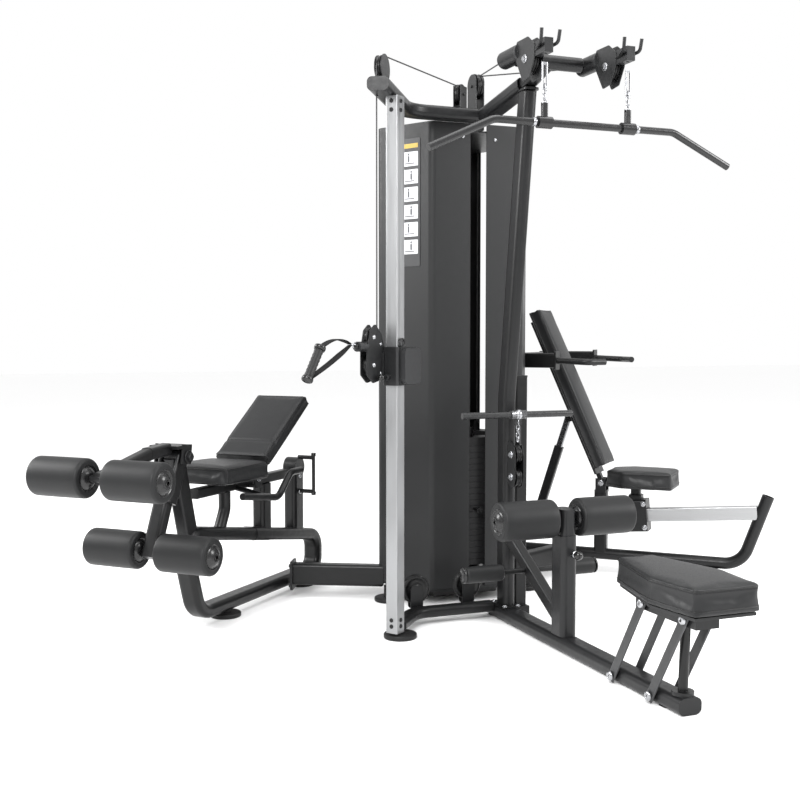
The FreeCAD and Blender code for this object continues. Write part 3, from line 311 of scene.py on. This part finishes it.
BY_SLOT = {
    "frame_coat": COAT, "shroud_coat": SHROUD, "silver": SILVER, "cheek_grey": CHEEK, "stack_black": STACK,
    "chrome": CHROME, "pulley_black": NYLON, "knob_black": KNOB, "foam": FOAM, "vinyl": VINYL,
    "rubber_foot": RUBBER, "cable_steel": ROPE, "strap": STRAP,
}
SPECIAL = {
    "lat_bar": BAR, "row_bar": BAR, "lat_bar_hangers": HANGER, "press_rail": RAIL,
    "row_links_front": LINK, "row_links_rear": LINK, "column_carriage": CHEEK, "press_strut_inner": CHROME,
}


def paint(obj, mat):
    obj.data.materials.clear()
    obj.data.materials.append(mat)


def paint_nodes():
    """Every carried-over CAD node gets the material of its slot."""
    slot_of = {s["node"]: s["material_slot"] for s in frame["record"]["subparts"]}
    for name, obj in nodes.items():
        paint(obj, SPECIAL.get(name, BY_SLOT[slot_of[name]]))


# ------------------------------------------------------------------ shared makers

def add(name, mesh, mat, body, smooth=True):
    """Links a mesh as a piece that rides on a body."""
    obj = bpy.data.objects.new(name, mesh)
    bpy.context.scene.collection.objects.link(obj)
    paint(obj, mat)
    for p in mesh.polygons:
        p.use_smooth = smooth
    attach(obj, body)
    return obj


def basis(axis):
    """Two directions square to an axis."""
    axis = axis.normalized()
    side = axis.cross(UP if abs(axis.z) < 0.9 else Vector((1, 0, 0))).normalized()
    return side, axis.cross(side)


def mesh_from(name, bm):
    """Ends a bmesh as a new mesh."""
    mesh = bpy.data.meshes.new(name)
    bm.to_mesh(mesh)
    bm.free()
    return mesh


def oval(centre, across, along, count):
    """Points evenly round an oval with the given half axes."""
    turn = [2 * math.pi * i / count for i in range(count)]
    return [centre + across * math.cos(t) + along * math.sin(t) for t in turn]


def lathe(bm, profile, start, axis, segments):
    """Turns (distance along the axis, radius) points into a skin; radius 0 closes an end."""
    axis = axis.normalized()
    side, other = basis(axis)
    rings = []
    for along, radius in profile:
        centre = start + axis * along
        if radius < 1e-6:
            rings.append([bm.verts.new(centre)])
            continue
        points = oval(centre, side * radius, other * radius, segments)
        rings.append([bm.verts.new(p) for p in points])
    for a, b in zip(rings, rings[1:]):
        for i in range(segments):
            j = (i + 1) % segments
            if len(a) == 1:
                bm.faces.new((a[0], b[j], b[i]))
            elif len(b) == 1:
                bm.faces.new((a[i], a[j], b[0]))
            else:
                bm.faces.new((a[i], a[j], b[j], b[i]))


def turned_piece(name, profile, start, axis, mat, body, segments=56, smooth=True):
    """A piece turned about an axis, riding on a body."""
    bm = bmesh.new()
    lathe(bm, profile, start, axis, segments)
    bmesh.ops.recalc_face_normals(bm, faces=bm.faces)
    return add(name, mesh_from(name, bm), mat, body, smooth)


def wire(name, lines, radius, rounds, mat, body, cyclic=False):
    """Round bars along straight runs of points, all in one curve."""
    curve = bpy.data.curves.new(name, "CURVE")
    curve.dimensions = "3D"
    curve.bevel_depth = radius
    curve.bevel_resolution = rounds
    for line in lines:
        spline = curve.splines.new("POLY")
        spline.points.add(len(line) - 1)
        for p, co in zip(spline.points, line):
            p.co = (*co, 1)
        spline.use_cyclic_u = cyclic
    obj = bpy.data.objects.new(name, curve)
    bpy.context.scene.collection.objects.link(obj)
    curve.materials.append(mat)
    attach(obj, body)


def tube(name, points, radius, mat, body, cyclic=False):
    """A round bar along points."""
    wire(name, [points], radius, 4, mat, body, cyclic)


# ------------------------------------------------------------------ cushions

def relaxed(obj, normal, push):
    """Inflates a pad with Cloth, holding its underside, and keeps each point's move under push."""
    mesh = obj.data
    start, no = points_of(mesh)
    held = obj.vertex_groups.new(name="held")
    underside = np.nonzero(no @ np.array(normal) < -0.7)[0]
    held.add([int(i) for i in underside], 1.0, "REPLACE")
    cloth = obj.modifiers.new("Cloth", "CLOTH")
    settings = cloth.settings
    settings.quality = 5
    settings.use_pressure = True
    settings.uniform_pressure_force = 4.0
    settings.effector_weights.gravity = 0.0
    settings.vertex_group_mass = "held"
    cloth.point_cache.frame_start = 1
    cloth.point_cache.frame_end = 20
    for f in range(1, 21):
        bpy.context.scene.frame_set(f)
    graph = bpy.context.evaluated_depsgraph_get()
    puffed = obj.evaluated_get(graph)
    moved = points_of(puffed.to_mesh())[0]
    puffed.to_mesh_clear()
    obj.modifiers.remove(cloth)
    obj.vertex_groups.clear()
    bpy.context.scene.frame_set(1)
    shift = moved - start
    far = np.linalg.norm(shift, axis=1)
    kept = np.minimum(1.0, push / np.maximum(far, 1e-9))
    set_points(mesh, start + shift * kept[:, None])


def points_of(mesh):
    """A mesh's points and point normals as arrays."""
    co = np.empty(len(mesh.vertices) * 3, np.float32)
    mesh.vertices.foreach_get("co", co)
    no = np.empty(len(mesh.vertices) * 3, np.float32)
    mesh.vertex_normals.foreach_get("vector", no)
    return co.reshape(-1, 3).astype(float), no.reshape(-1, 3).astype(float)


def set_points(mesh, co):
    """Moves a mesh's points to new places."""
    mesh.vertices.foreach_set("co", co.astype(np.float32).ravel())
    mesh.update()


def share(along):
    """Places along a direction as -1 to 1 over their own span."""
    return 2 * (along - along.min()) / (along.max() - along.min()) - 1


def shape_pad(mesh, normal, crown, grooves):
    """Crowns the top of a pad, pulls its sides in between the welts and presses sewn grooves."""
    co, no = points_of(mesh)
    up = np.array(normal)
    x, y = (np.array(d) for d in basis(normal))
    facing = no @ up
    t = (share(co @ up) + 1) / 2
    u = share(co @ x)
    w = share(co @ y)
    co -= no * (0.004 * np.sin(np.pi * t) * (1 - np.abs(facing)))[:, None]
    rise = crown * (1 - u ** 2) * (1 - w ** 2)
    for direction, place in grooves:
        rise -= 0.005 * np.exp(-((co @ np.array(direction) - place) / 0.007) ** 2)
    co += up * np.where(facing > 0.3, rise, 0.0)[:, None]
    set_points(mesh, co)


def seam_loop(mesh, point, normal):
    """The outline where a plane cuts a pad, as points in order round it."""
    bm = bmesh.new()
    bm.from_mesh(mesh)
    everything = bm.verts[:] + bm.edges[:] + bm.faces[:]
    cut = bmesh.ops.bisect_plane(bm, geom=everything, plane_co=point, plane_no=normal)
    found = [g.co.copy() for g in cut["geom_cut"] if isinstance(g, bmesh.types.BMVert)]
    bm.free()
    centre = sum(found, Vector()) / len(found)
    x, y = basis(normal)
    found.sort(key=lambda p: math.atan2((p - centre).dot(y), (p - centre).dot(x)))
    line = [found[0]]
    for p in found[1:]:
        if (p - line[-1]).length > 0.006:
            line.append(p)
    return line


def stitches(name, line, centre, normal, inset, mat, body):
    """A row of short raised stitches along a seam."""
    threads = []
    for a, b in zip(line, line[1:] + line[:1]):
        mid = (a + b) / 2
        inward = (centre - mid) - normal * (centre - mid).dot(normal)
        off = inward.normalized() * inset
        threads.append([a.lerp(b, 0.2) + off, a.lerp(b, 0.8) + off])
    wire(name, threads, 0.0007, 2, mat, body)


def cushion(name, node, body, normal, crown, grooves=()):
    """An upholstered pad in its CAD solid's place: crowned top, pulled in sides, welted seams."""
    normal = normal.normalized()
    mesh = nodes[node].data.copy()
    obj = bpy.data.objects.new(name, mesh)
    bpy.context.scene.collection.objects.link(obj)
    paint(obj, VINYL)
    remesh = obj.modifiers.new("Remesh", "REMESH")
    remesh.mode = "VOXEL"
    remesh.voxel_size = CUSHION_VOXEL
    graph = bpy.context.evaluated_depsgraph_get()
    fresh = bpy.data.meshes.new_from_object(obj.evaluated_get(graph))
    obj.modifiers.clear()
    obj.data = fresh
    co, no = points_of(fresh)
    set_points(fresh, co - no * 0.004)
    relaxed(obj, normal, CUSHION_PUSH)
    shape_pad(fresh, normal, crown, grooves)
    smooth = obj.modifiers.new("Smooth", "SMOOTH")
    smooth.factor = 0.5
    smooth.iterations = 6
    graph = bpy.context.evaluated_depsgraph_get()
    done = bpy.data.meshes.new_from_object(obj.evaluated_get(graph))
    obj.modifiers.clear()
    obj.data = done
    for p in done.polygons:
        p.use_smooth = True
    obj.modifiers.new("Subdivision", "SUBSURF").levels = 1
    obj.modifiers["Subdivision"].render_levels = 1
    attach(obj, body)
    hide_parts(node)
    co = points_of(done)[0]
    along = co @ np.array(normal)
    low = along.min()
    deep = along.max() - low
    middle = Vector(co.mean(0))

    def section(part):
        """The pad's outline at a share of its depth."""
        return seam_loop(done, middle + normal * (low + deep * part - middle.dot(normal)), normal)

    for k, part in enumerate((0.17, 0.80)):
        tube(f"{name}_welt_{k}", section(part), 0.0019, PIPING, body, cyclic=True)
    stitches(f"{name}_stitches", section(0.74), middle, normal, -0.0006, THREAD, body)


def make_cushions():
    """The five pads, each with the direction that its top faces."""
    back = way(LEG, math.sin(LEG_BACK_LEAN), 0, math.cos(LEG_BACK_LEAN))
    slope = way(LEG, -math.cos(LEG_BACK_LEAN), 0, math.sin(LEG_BACK_LEAN))
    crease = slope.dot(station(LEG, 0.60, LEG_LINE, 0.68))
    press_out = way(PRESS, math.cos(PRESS_BACK_LEAN), 0, math.sin(PRESS_BACK_LEAN))
    cushion("row_seat_cushion", "row_seat_pad", "row_seat", UP, 0.006)
    cushion("leg_seat_cushion", "leg_seat_pad", "frame", UP, 0.006)
    cushion("leg_back_cushion", "leg_back_pad", "leg_back", back, 0.006, [(slope, crease)])
    cushion("press_seat_cushion", "press_seat_pad", "press_seat", UP, 0.006)
    cushion("press_back_cushion", "press_back_pad", "press_back", press_out, 0.008)


# ------------------------------------------------------------------ foam rollers

def rounded_profile(length, radius, edge, crown):
    """A foam cylinder's profile: round shoulders and a slightly full middle."""
    points = [(0.0, radius * 0.68), (0.0, radius - edge)]
    for i in range(1, 7):
        a = math.pi / 2 * i / 6
        points.append((edge - edge * math.cos(a), radius - edge + edge * math.sin(a)))
    for i in range(1, 8):
        t = i / 8
        points.append((edge + (length - 2 * edge) * t, radius + crown * math.sin(math.pi * t)))
    for i in range(6, -1, -1):
        a = math.pi / 2 * i / 6
        points.append((length - edge + edge * math.cos(a), radius - edge + edge * math.sin(a)))
    points.append((length, radius * 0.68))
    return points


def roller_cap(name, at, out, radius, body):
    """The domed plastic end cap: rim, groove, dome and a hexagonal socket."""
    rim = [(-0.012, radius), (0.001, radius), (0.003, radius - 0.002), (0.003, radius - 0.006),
           (0.0005, radius - 0.008), (0.0005, radius - 0.010)]
    dome = []
    r0 = radius - 0.010
    for i in range(1, 8):
        t = i / 7
        dome.append((0.001 + 0.015 * math.sin(t * math.pi / 2) ** 0.8, r0 - (r0 - 0.012) * t))
    turned_piece(name, rim + dome + [(0.013, 0.010), (0.005, 0.0095), (0.005, 0)], at, out, CAP, body)
    ring = [(0.0155, 0.0115), (0.0172, 0.0100), (0.0172, 0.0085), (0.008, 0.0078), (0.008, 0)]
    turned_piece(name + "_socket", ring, at, out, KNOB, body, segments=6, smooth=False)


def foam_pair(name, node, body, middle, axis, gap, length, radius, caps=True):
    """Two foam rollers either side of a station, in place of their CAD solids."""
    axis = axis.normalized()
    for side, word in ((-1, "near"), (1, "far")):
        out = axis * side
        start = middle + out * gap
        profile = rounded_profile(length, radius, 0.011, 0.0004)
        foam = turned_piece(f"{name}_{word}", profile, start, out, FOAM, body, 96)
        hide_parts(node)
        if caps:
            roller_cap(f"{name}_{word}_cap_out", start + out * (length - 0.003), out, radius * 0.72, body)
            roller_cap(f"{name}_{word}_cap_in", start + out * 0.003, -out, radius * 0.72, body)


def make_rollers():
    """The three big foam pairs and the slim footrest pair."""
    rows = (
        ("knee_foam", "knee_rollers", "knee_foam", ROW, (1.010, 0, 0.474)),
        ("ankle_foam", "ankle_rollers", "ankle_foam", LEG, (1.279, LEG_LINE, 0.347)),
        ("thigh_foam", "thigh_rollers", "thigh_foam", LEG, (1.560, LEG_LINE, 0.641)),
    )
    for name, node, body, heading, place in rows:
        foam_pair(name, node, body, station(heading, *place), way(heading, 0, 1), 0.047, 0.215, 0.0685)
    rest = station(ROW, 0.755, 0, 0.236)
    foam_pair("footrest_foam", "footrest_rollers", "foot_foam", rest, way(ROW, 0, 1),
              0.117, 0.156, 0.0308, caps=False)
    cap = [(0, 0.030), (0.004, 0.030), (0.008, 0.024), (0.010, 0)]
    for side in (-1, 1):
        out = way(ROW, 0, side)
        turned_piece(f"footrest_cap_{side + 1}", cap, rest + out * 0.274, out, CAP, "foot_foam")


# ------------------------------------------------------------------ bolts and trims

def hex_bolt(name, at, out, size, body, mat=CHROME):
    """A chamfered hexagon head on a washer."""
    washer = [(0, size * 1.5), (0.0018, size * 1.5), (0.0022, size * 1.4), (0.0022, 0)]
    turned_piece(name + "_washer", washer, at, out, mat, body, 32)
    head = [(0.002, size), (size * 0.75, size), (size * 0.85, size * 0.86), (size * 0.85, 0)]
    turned_piece(name, head, at, out, mat, body, 6, False)


def dome_bolt(name, at, out, size, body, mat=CHROME):
    """A button head with a socket, as on the seat links."""
    profile = [(0, size), (size * 0.18, size), (size * 0.42, size * 0.8), (size * 0.5, size * 0.45),
               (size * 0.5, size * 0.36), (size * 0.15, size * 0.33), (size * 0.15, 0)]
    turned_piece(name, profile, at, out, mat, body, 40)


def make_row_bolts():
    """The row seat's link pivots, the low pulleys' axles, the lat blocks' axles and the mast's foot."""
    for side in (-1, 1):
        out = way(ROW, 0, side)
        for x, across, z, body in ((1.412, 0.056, 0.026, "links_front"), (1.627, 0.056, 0.026, "links_rear"),
                                   (1.577, 0.054, 0.300, "links_front"), (1.792, 0.054, 0.300, "links_rear")):
            at = station(ROW, x, side * across, z)
            dome_bolt(f"link_bolt_{int(x * 1000)}_{side + 1}", at, out, 0.0155, body)
        for k, z in enumerate((0.575, 0.662)):
            at = station(ROW, 0.628, side * 0.0195, z)
            hex_bolt(f"low_axle_{k}_{side + 1}", at, out, 0.010, "frame")
        for name, y in (("left", -0.158), ("right", 0.158)):
            at = station(ROW, 1.025, y + side * 0.0195, 2.062)
            hex_bolt(f"block_{name}_{side + 1}", at, out, 0.010, "block_" + name)
    for k, (x, y) in enumerate(((0.503, -0.028), (0.503, 0.028), (0.599, -0.028), (0.599, 0.028))):
        hex_bolt(f"mast_bolt_{k}", station(ROW, x, y, 0.062), UP, 0.007, "frame")


def make_leg_bolts():
    """The lever's pivot, the back board's hinge and the rear upright's bolts."""
    for side in (-1, 1):
        out = way(LEG, 0, side)
        at = station(LEG, 1.138, LEG_LINE + side * 0.066, 0.677)
        hex_bolt(f"lever_bolt_{side + 1}", at, out, 0.016, "hold_down", COAT)
        at = station(LEG, 0.640, LEG_LINE + side * 0.063, 0.540)
        hex_bolt(f"back_bolt_{side + 1}", at, out, 0.010, "frame")
        for k, z in enumerate((0.50, 0.43)):
            at = station(LEG, 0.238, LEG_LINE + side * 0.030, z)
            dome_bolt(f"upright_bolt_{k}_{side + 1}", at, out, 0.010, "frame")


def make_press_bolts():
    """The arm yoke's pivot, the back's hinge and the seat carriage, which sits along the sloping rail."""
    rail = Vector((712, 58)).normalized()
    for side in (-1, 1):
        out = way(PRESS, 0, side)
        at = station(PRESS, 0.050, PRESS_LINE + side * 0.034, 1.010)
        hex_bolt(f"yoke_bolt_{side + 1}", at, out, 0.014, "frame", COAT)
        at = station(PRESS, 0.523, PRESS_LINE + side * 0.034, 0.427)
        hex_bolt(f"hinge_bolt_{side + 1}", at, out, 0.010, "frame")
        for k, (a, b) in enumerate(((0.118, 0.055), (0.118, -0.055), (0.212, 0.055), (0.212, -0.055))):
            s = 0.520 + rail.x * a - rail.y * b
            z = 0.268 + rail.y * a + rail.x * b
            at = station(PRESS, s, PRESS_LINE + side * 0.045, z)
            hex_bolt(f"carriage_bolt_{k}_{side + 1}", at, out, 0.008, "press_seat")


def make_tower_bolts():
    """The side beams' flanges and the front shroud's screws."""
    for heading, word in ((153, "left"), (27, "right")):
        out = way(heading, 1, 0)
        for k, (y, z) in enumerate(((-0.035, 0.135), (0.035, 0.135), (-0.035, 0.05), (0.035, 0.05))):
            at = station(heading, 0.762, y, z) + Vector((0, -0.2, 0))
            hex_bolt(f"flange_{word}_{k}", at, out, 0.008, "frame", COAT)
    for k, (a, z) in enumerate(((-0.07, 1.93), (0.075, 1.925), (-0.07, 0.12), (0.075, 0.12))):
        dome_bolt(f"shroud_screw_{k}", Vector((a, -0.283, z)), Vector((0, -1, 0)), 0.007, "frame")


def make_column_fittings():
    """The carriage's bolts and cover, and the bolts at the column's two ends."""
    facing = way(COLUMN, 0, 1)
    for k, (x, z, size) in enumerate(((0.094, 1.115, 0.009), (0.094, 1.015, 0.009),
                                      (0.052, 0.985, 0.006), (0.052, 1.09, 0.006))):
        dome_bolt(f"rig_bolt_{k}", COLUMN_AT + station(COLUMN, x, -0.0272, z), facing, size, "carriage")
    cover = COLUMN_AT + station(COLUMN, -0.036, 0.0368, 1.010)
    plate("rig_cover", cover, facing, 0.104, 0.130, 0.018, 0.018, CHEEK, "carriage")
    for k, z in enumerate((1.962, 1.93, 0.075, 0.052)):
        for turn in (0, 90):
            out = way(COLUMN + turn, 1, 0)
            dome_bolt(f"column_bolt_{k}_{turn}", COLUMN_AT + out * 0.025 + UP * z, out, 0.008, "frame", COAT)


def plate(name, centre, normal, width, height, thick, radius, mat, body):
    """A thin card with rounded corners, standing on a face."""
    across = UP.cross(normal).normalized()
    bm = bmesh.new()
    outline = []
    for cx, cz, first in ((1, 1, 0), (-1, 1, 90), (-1, -1, 180), (1, -1, 270)):
        for i in range(6):
            a = math.radians(first + 90 * i / 5)
            px = cx * (width / 2 - radius) + radius * math.cos(a)
            pz = cz * (height / 2 - radius) + radius * math.sin(a)
            outline.append(centre + across * px + UP * pz)
    base = bm.faces.new([bm.verts.new(p) for p in outline])
    up = bmesh.ops.extrude_face_region(bm, geom=[base])
    front = [g for g in up["geom"] if isinstance(g, bmesh.types.BMVert)]
    bmesh.ops.translate(bm, vec=normal * thick, verts=front)
    bmesh.ops.recalc_face_normals(bm, faces=bm.faces)
    add(name, mesh_from(name, bm), mat, body, False)


def make_card():
    """A generic exercise card: coloured header and a column of plain figure boxes."""
    out = way(CARD_HEADING, 1, 0)
    side = UP.cross(out).normalized()
    foot = out * 0.321 + side * 0.030
    plate("card_back", foot + UP * 1.665, out, 0.105, 0.52, 0.002, 0.006, CARD, "frame")
    header = foot + UP * 1.895 + out * 0.002
    plate("card_header", header, out, 0.085, 0.018, 0.0008, 0.002, YELLOW, "frame")
    for i in range(6):
        z = 1.842 - i * 0.0715
        box = foot + UP * z + out * 0.002
        plate(f"card_box_{i}", box, out, 0.085, 0.058, 0.0008, 0.003, WHITE, "frame")
        middle = box + out * 0.0008
        figure = middle + side * (0.008 if i % 2 else -0.006)
        plate(f"card_body_{i}", figure, out, 0.009, 0.026, 0.0005, 0.004, INK, "frame")
        plate(f"card_head_{i}", figure + UP * 0.019, out, 0.009, 0.009, 0.0005, 0.0044, INK, "frame")
        plate(f"card_floor_{i}", middle - UP * 0.018, out, 0.050, 0.004, 0.0005, 0.0015, INK, "frame")


def make_strap(name, start, end, rise):
    """A webbing strap that widens from the ring and bows upward by rise."""
    steps = 16
    across = way(COLUMN, 0, 1)
    bm = bmesh.new()
    rows = []
    for i in range(steps + 1):
        t = i / steps
        p = start.lerp(end, t) + UP * rise * math.sin(math.pi * t)
        wide = 0.008 + 0.009 * min(1, t * 4)
        rows.append([bm.verts.new(p + across * wide * s) for s in (-1, -0.5, 0, 0.5, 1)])
    for a, b in zip(rows, rows[1:]):
        for i in range(4):
            bm.faces.new((a[i], a[i + 1], b[i + 1], b[i]))
    strap = add(name, mesh_from(name, bm), STRAP, "handle")
    solid = strap.modifiers.new("Solid", "SOLIDIFY")
    solid.thickness = 0.0045
    solid.offset = 0
    strap.modifiers.new("Subdivision", "SUBSURF").render_levels = 1


def make_handle():
    """The pull handle: ribbed grip between end discs, two webbing straps, ring and snap link."""
    def at(x, z):
        return COLUMN_AT + station(COLUMN, x, CABLE_LINE, z)

    top = at(0.388, 1.076)
    low = at(0.452, 0.979)
    axis = (top - low).normalized()
    length = (top - low).length
    ribs = [(0, 0), (0, 0.0135)]
    for i in range(15):
        a = 0.006 + i * (length - 0.012) / 14
        ribs.append((a, 0.0162 if i % 2 else 0.0146))
    ribs += [(length, 0.0135), (length, 0)]
    grip = turned_piece("handle_grip", ribs, low, axis, GRIP, "handle", 40)
    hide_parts("pull_handle")
    disc = [(-0.004, 0.012), (-0.004, 0.019), (0.004, 0.0205), (0.010, 0.0195), (0.013, 0.014), (0.013, 0)]
    for word, end, out in (("top", top, axis), ("low", low, -axis)):
        turned_piece("handle_end_" + word, disc, end, out, KNOB, "handle", 40)
    neck = at(0.212, 1.090)
    make_strap("handle_strap_top", neck, top + axis * 0.006, 0.022)
    make_strap("handle_strap_low", neck, low - axis * 0.006, -0.006)
    along = way(COLUMN, 1, 0)
    ring = oval(at(0.206, 1.090), along * 0.012, way(COLUMN, 0, 1) * 0.014, 24)
    tube("handle_ring", ring, 0.003, CHROME, "handle", cyclic=True)
    snap = oval(at(0.186, 1.087), along * 0.016, UP * 0.009, 24)
    tube("handle_snap", snap, 0.0026, CHROME, "handle", cyclic=True)
    ball = [(0, 0), (0.002, 0.008), (0.009, 0.011), (0.016, 0.008), (0.018, 0)]
    turned_piece("handle_stop_ball", ball, at(0.176, 1.082), along, NYLON, "handle", 32)


def make_collars():
    """The catch pin's faceted collar and the plated rings on the lat bar."""
    faceted = [(0, 0.013), (0.016, 0.013), (0.018, 0.011), (0.018, 0.0052)]
    at = station(ROW, 1.0562, 0.012, 0.352)
    turned_piece("knee_collar", faceted, at, way(ROW, 1, 0), CHROME, "frame", 12, False)
    plated = [(0, 0.0126), (0.001, 0.0142), (0.012, 0.0142), (0.013, 0.0126)]
    for word, y in (("left", 0.192), ("right", -0.205)):
        at = station(ROW, 1.138, y, 1.829)
        turned_piece("bar_knurl_" + word, plated, at, way(ROW, 0, 1), CHROME, "hanging_bar", 40)


def make_base_pulleys():
    """Two grooved pulleys between cheeks, low in front of the tower."""
    out = Vector((0, -1, 0))
    rim = [(-0.010, 0), (-0.010, 0.054), (-0.008, 0.057), (-0.002, 0.051), (0.002, 0.051), (0.008, 0.057),
           (0.010, 0.054), (0.010, 0.044), (0.006, 0.041), (0.006, 0.016), (0.010, 0.014), (0.010, 0)]
    for word, x, y in (("outer", -0.345, -0.450), ("inner", -0.120, -0.440)):
        at = Vector((x, y, 0.126))
        turned_piece(f"base_sheave_{word}", rim, at, out, NYLON, "frame", 64)
        hex_bolt(f"base_sheave_bolt_{word}", at + out * 0.010, out, 0.008, "frame")
        for k in (-1, 1):
            cheek = at + out * (0.015 * k) - UP * 0.030
            plate(f"base_cheek_{word}_{k + 1}", cheek, out, 0.052, 0.096, 0.003, 0.016, COAT, "frame")


def make_lever():
    """The leg back pad's adjusting lever, held off the rear upright by two arms."""
    low = station(LEG, 0.236, -0.552, 0.425)
    reach = way(LEG, 0, 1) * 0.075
    tube("lever_rod", [low, low + UP * 0.175], 0.0075, COAT, "frame")
    for k, z in enumerate((0.010, 0.160)):
        tube(f"lever_arm_{k}", [low + UP * z, low + UP * z - reach], 0.009, COAT, "frame")
    cap = [(0, 0), (0.001, 0.010), (0.014, 0.011), (0.016, 0.009), (0.016, 0)]
    for k, z in enumerate((-0.006, 0.165)):
        turned_piece(f"lever_cap_{k}", cap, low + UP * z, UP, KNOB, "frame", 32)


def make_row_clip():
    """The row bar's plated clip and the five chain links under it."""
    middle = station(ROW, 0.648, 0, 0.818)
    across = way(ROW, 0, 1)
    clip = [(-0.032, 0.0145), (-0.031, 0.017), (-0.010, 0.017), (-0.008, 0.0205), (0.008, 0.0205),
            (0.010, 0.017), (0.031, 0.017), (0.032, 0.0145)]
    turned_piece("row_clip", clip, middle, across, CHROME, "pull_bar", 40)
    for k in range(5):
        side = across if k % 2 else way(ROW, 1, 0)
        link = oval(middle - UP * (0.030 + 0.0165 * k), side * 0.0065, UP * 0.0115, 16)
        tube(f"row_chain_{k}", link, 0.0021, CHROME, "pull_bar", cyclic=True)


def make_panels():
    """Two blank panels low on the shroud's side face."""
    out = way(CARD_HEADING, 1, 0)
    foot = out * 0.3212 - UP.cross(out).normalized() * 0.072
    for k, (z, high) in enumerate(((0.915, 0.062), (0.81, 0.125))):
        plate(f"blank_panel_{k}", foot + UP * z, out, 0.062, high, 0.003, 0.004, COAT, "frame")


# ------------------------------------------------------------------ studio

def aimed(data, place, back):
    """Puts a camera or lamp at a place, looking away from the back direction."""
    obj = bpy.data.objects.new(data.name, data)
    obj.location = place
    obj.rotation_mode = "QUATERNION"
    obj.rotation_quaternion = (-back).to_track_quat("-Z", "Y")
    bpy.context.scene.collection.objects.link(obj)
    return obj


def make_floor():
    """A pale floor, and a white world around it."""
    bm = bmesh.new()
    bmesh.ops.create_grid(bm, x_segments=1, y_segments=1, size=30)
    floor = bpy.data.objects.new("floor", mesh_from("floor", bm))
    bpy.context.scene.collection.objects.link(floor)
    paint(floor, material("pale_floor", (0.97, 0.97, 0.97), 0.9)[0])
    world = bpy.data.worlds.new("studio")
    bpy.context.scene.world = world
    world.use_nodes = True
    background = world.node_tree.nodes["Background"]
    background.inputs["Color"].default_value = (1, 1, 1, 1)
    background.inputs["Strength"].default_value = 1.0


def make_lights():
    """Four soft boxes: front left, front right, rear left and overhead."""
    for place, aim, size, power in (
        ((-3.5, -4.5, 4.2), (0, -0.3, 0.9), 2.6, 330),
        ((3.8, -3.4, 3.2), (0, -0.5, 0.9), 2.2, 210),
        ((-4.5, 1.5, 3.0), (0, 0, 1.0), 2.2, 200),
        ((0.5, -1.0, 5.0), (0, -0.4, 0.8), 3.0, 90),
    ):
        lamp = bpy.data.lights.new("soft_box", "AREA")
        lamp.size = size
        lamp.energy = power
        aimed(lamp, place, Vector(place) - Vector(aim))


def make_camera():
    """The camera, at the photograph's height and viewing angle."""
    azimuth = math.radians(-21.2)
    elevation = math.radians(3.3)
    level = math.cos(elevation)
    back = Vector((math.sin(azimuth) * level, -math.cos(azimuth) * level, math.sin(elevation)))
    cam = bpy.data.cameras.new("camera")
    cam.lens = 50.0
    cam.sensor_width = 36.0
    bpy.context.scene.camera = aimed(cam, (-1.963, -4.455, 1.12), back)
    bpy.context.scene.view_settings.view_transform = "Standard"


make_floor()
make_lights()
make_camera()
paint_nodes()
make_cushions()
make_rollers()
make_handle()
make_row_bolts()
make_leg_bolts()
make_press_bolts()
make_tower_bolts()
make_column_fittings()
make_card()
make_collars()
make_base_pulleys()
make_lever()
make_row_clip()
make_panels()
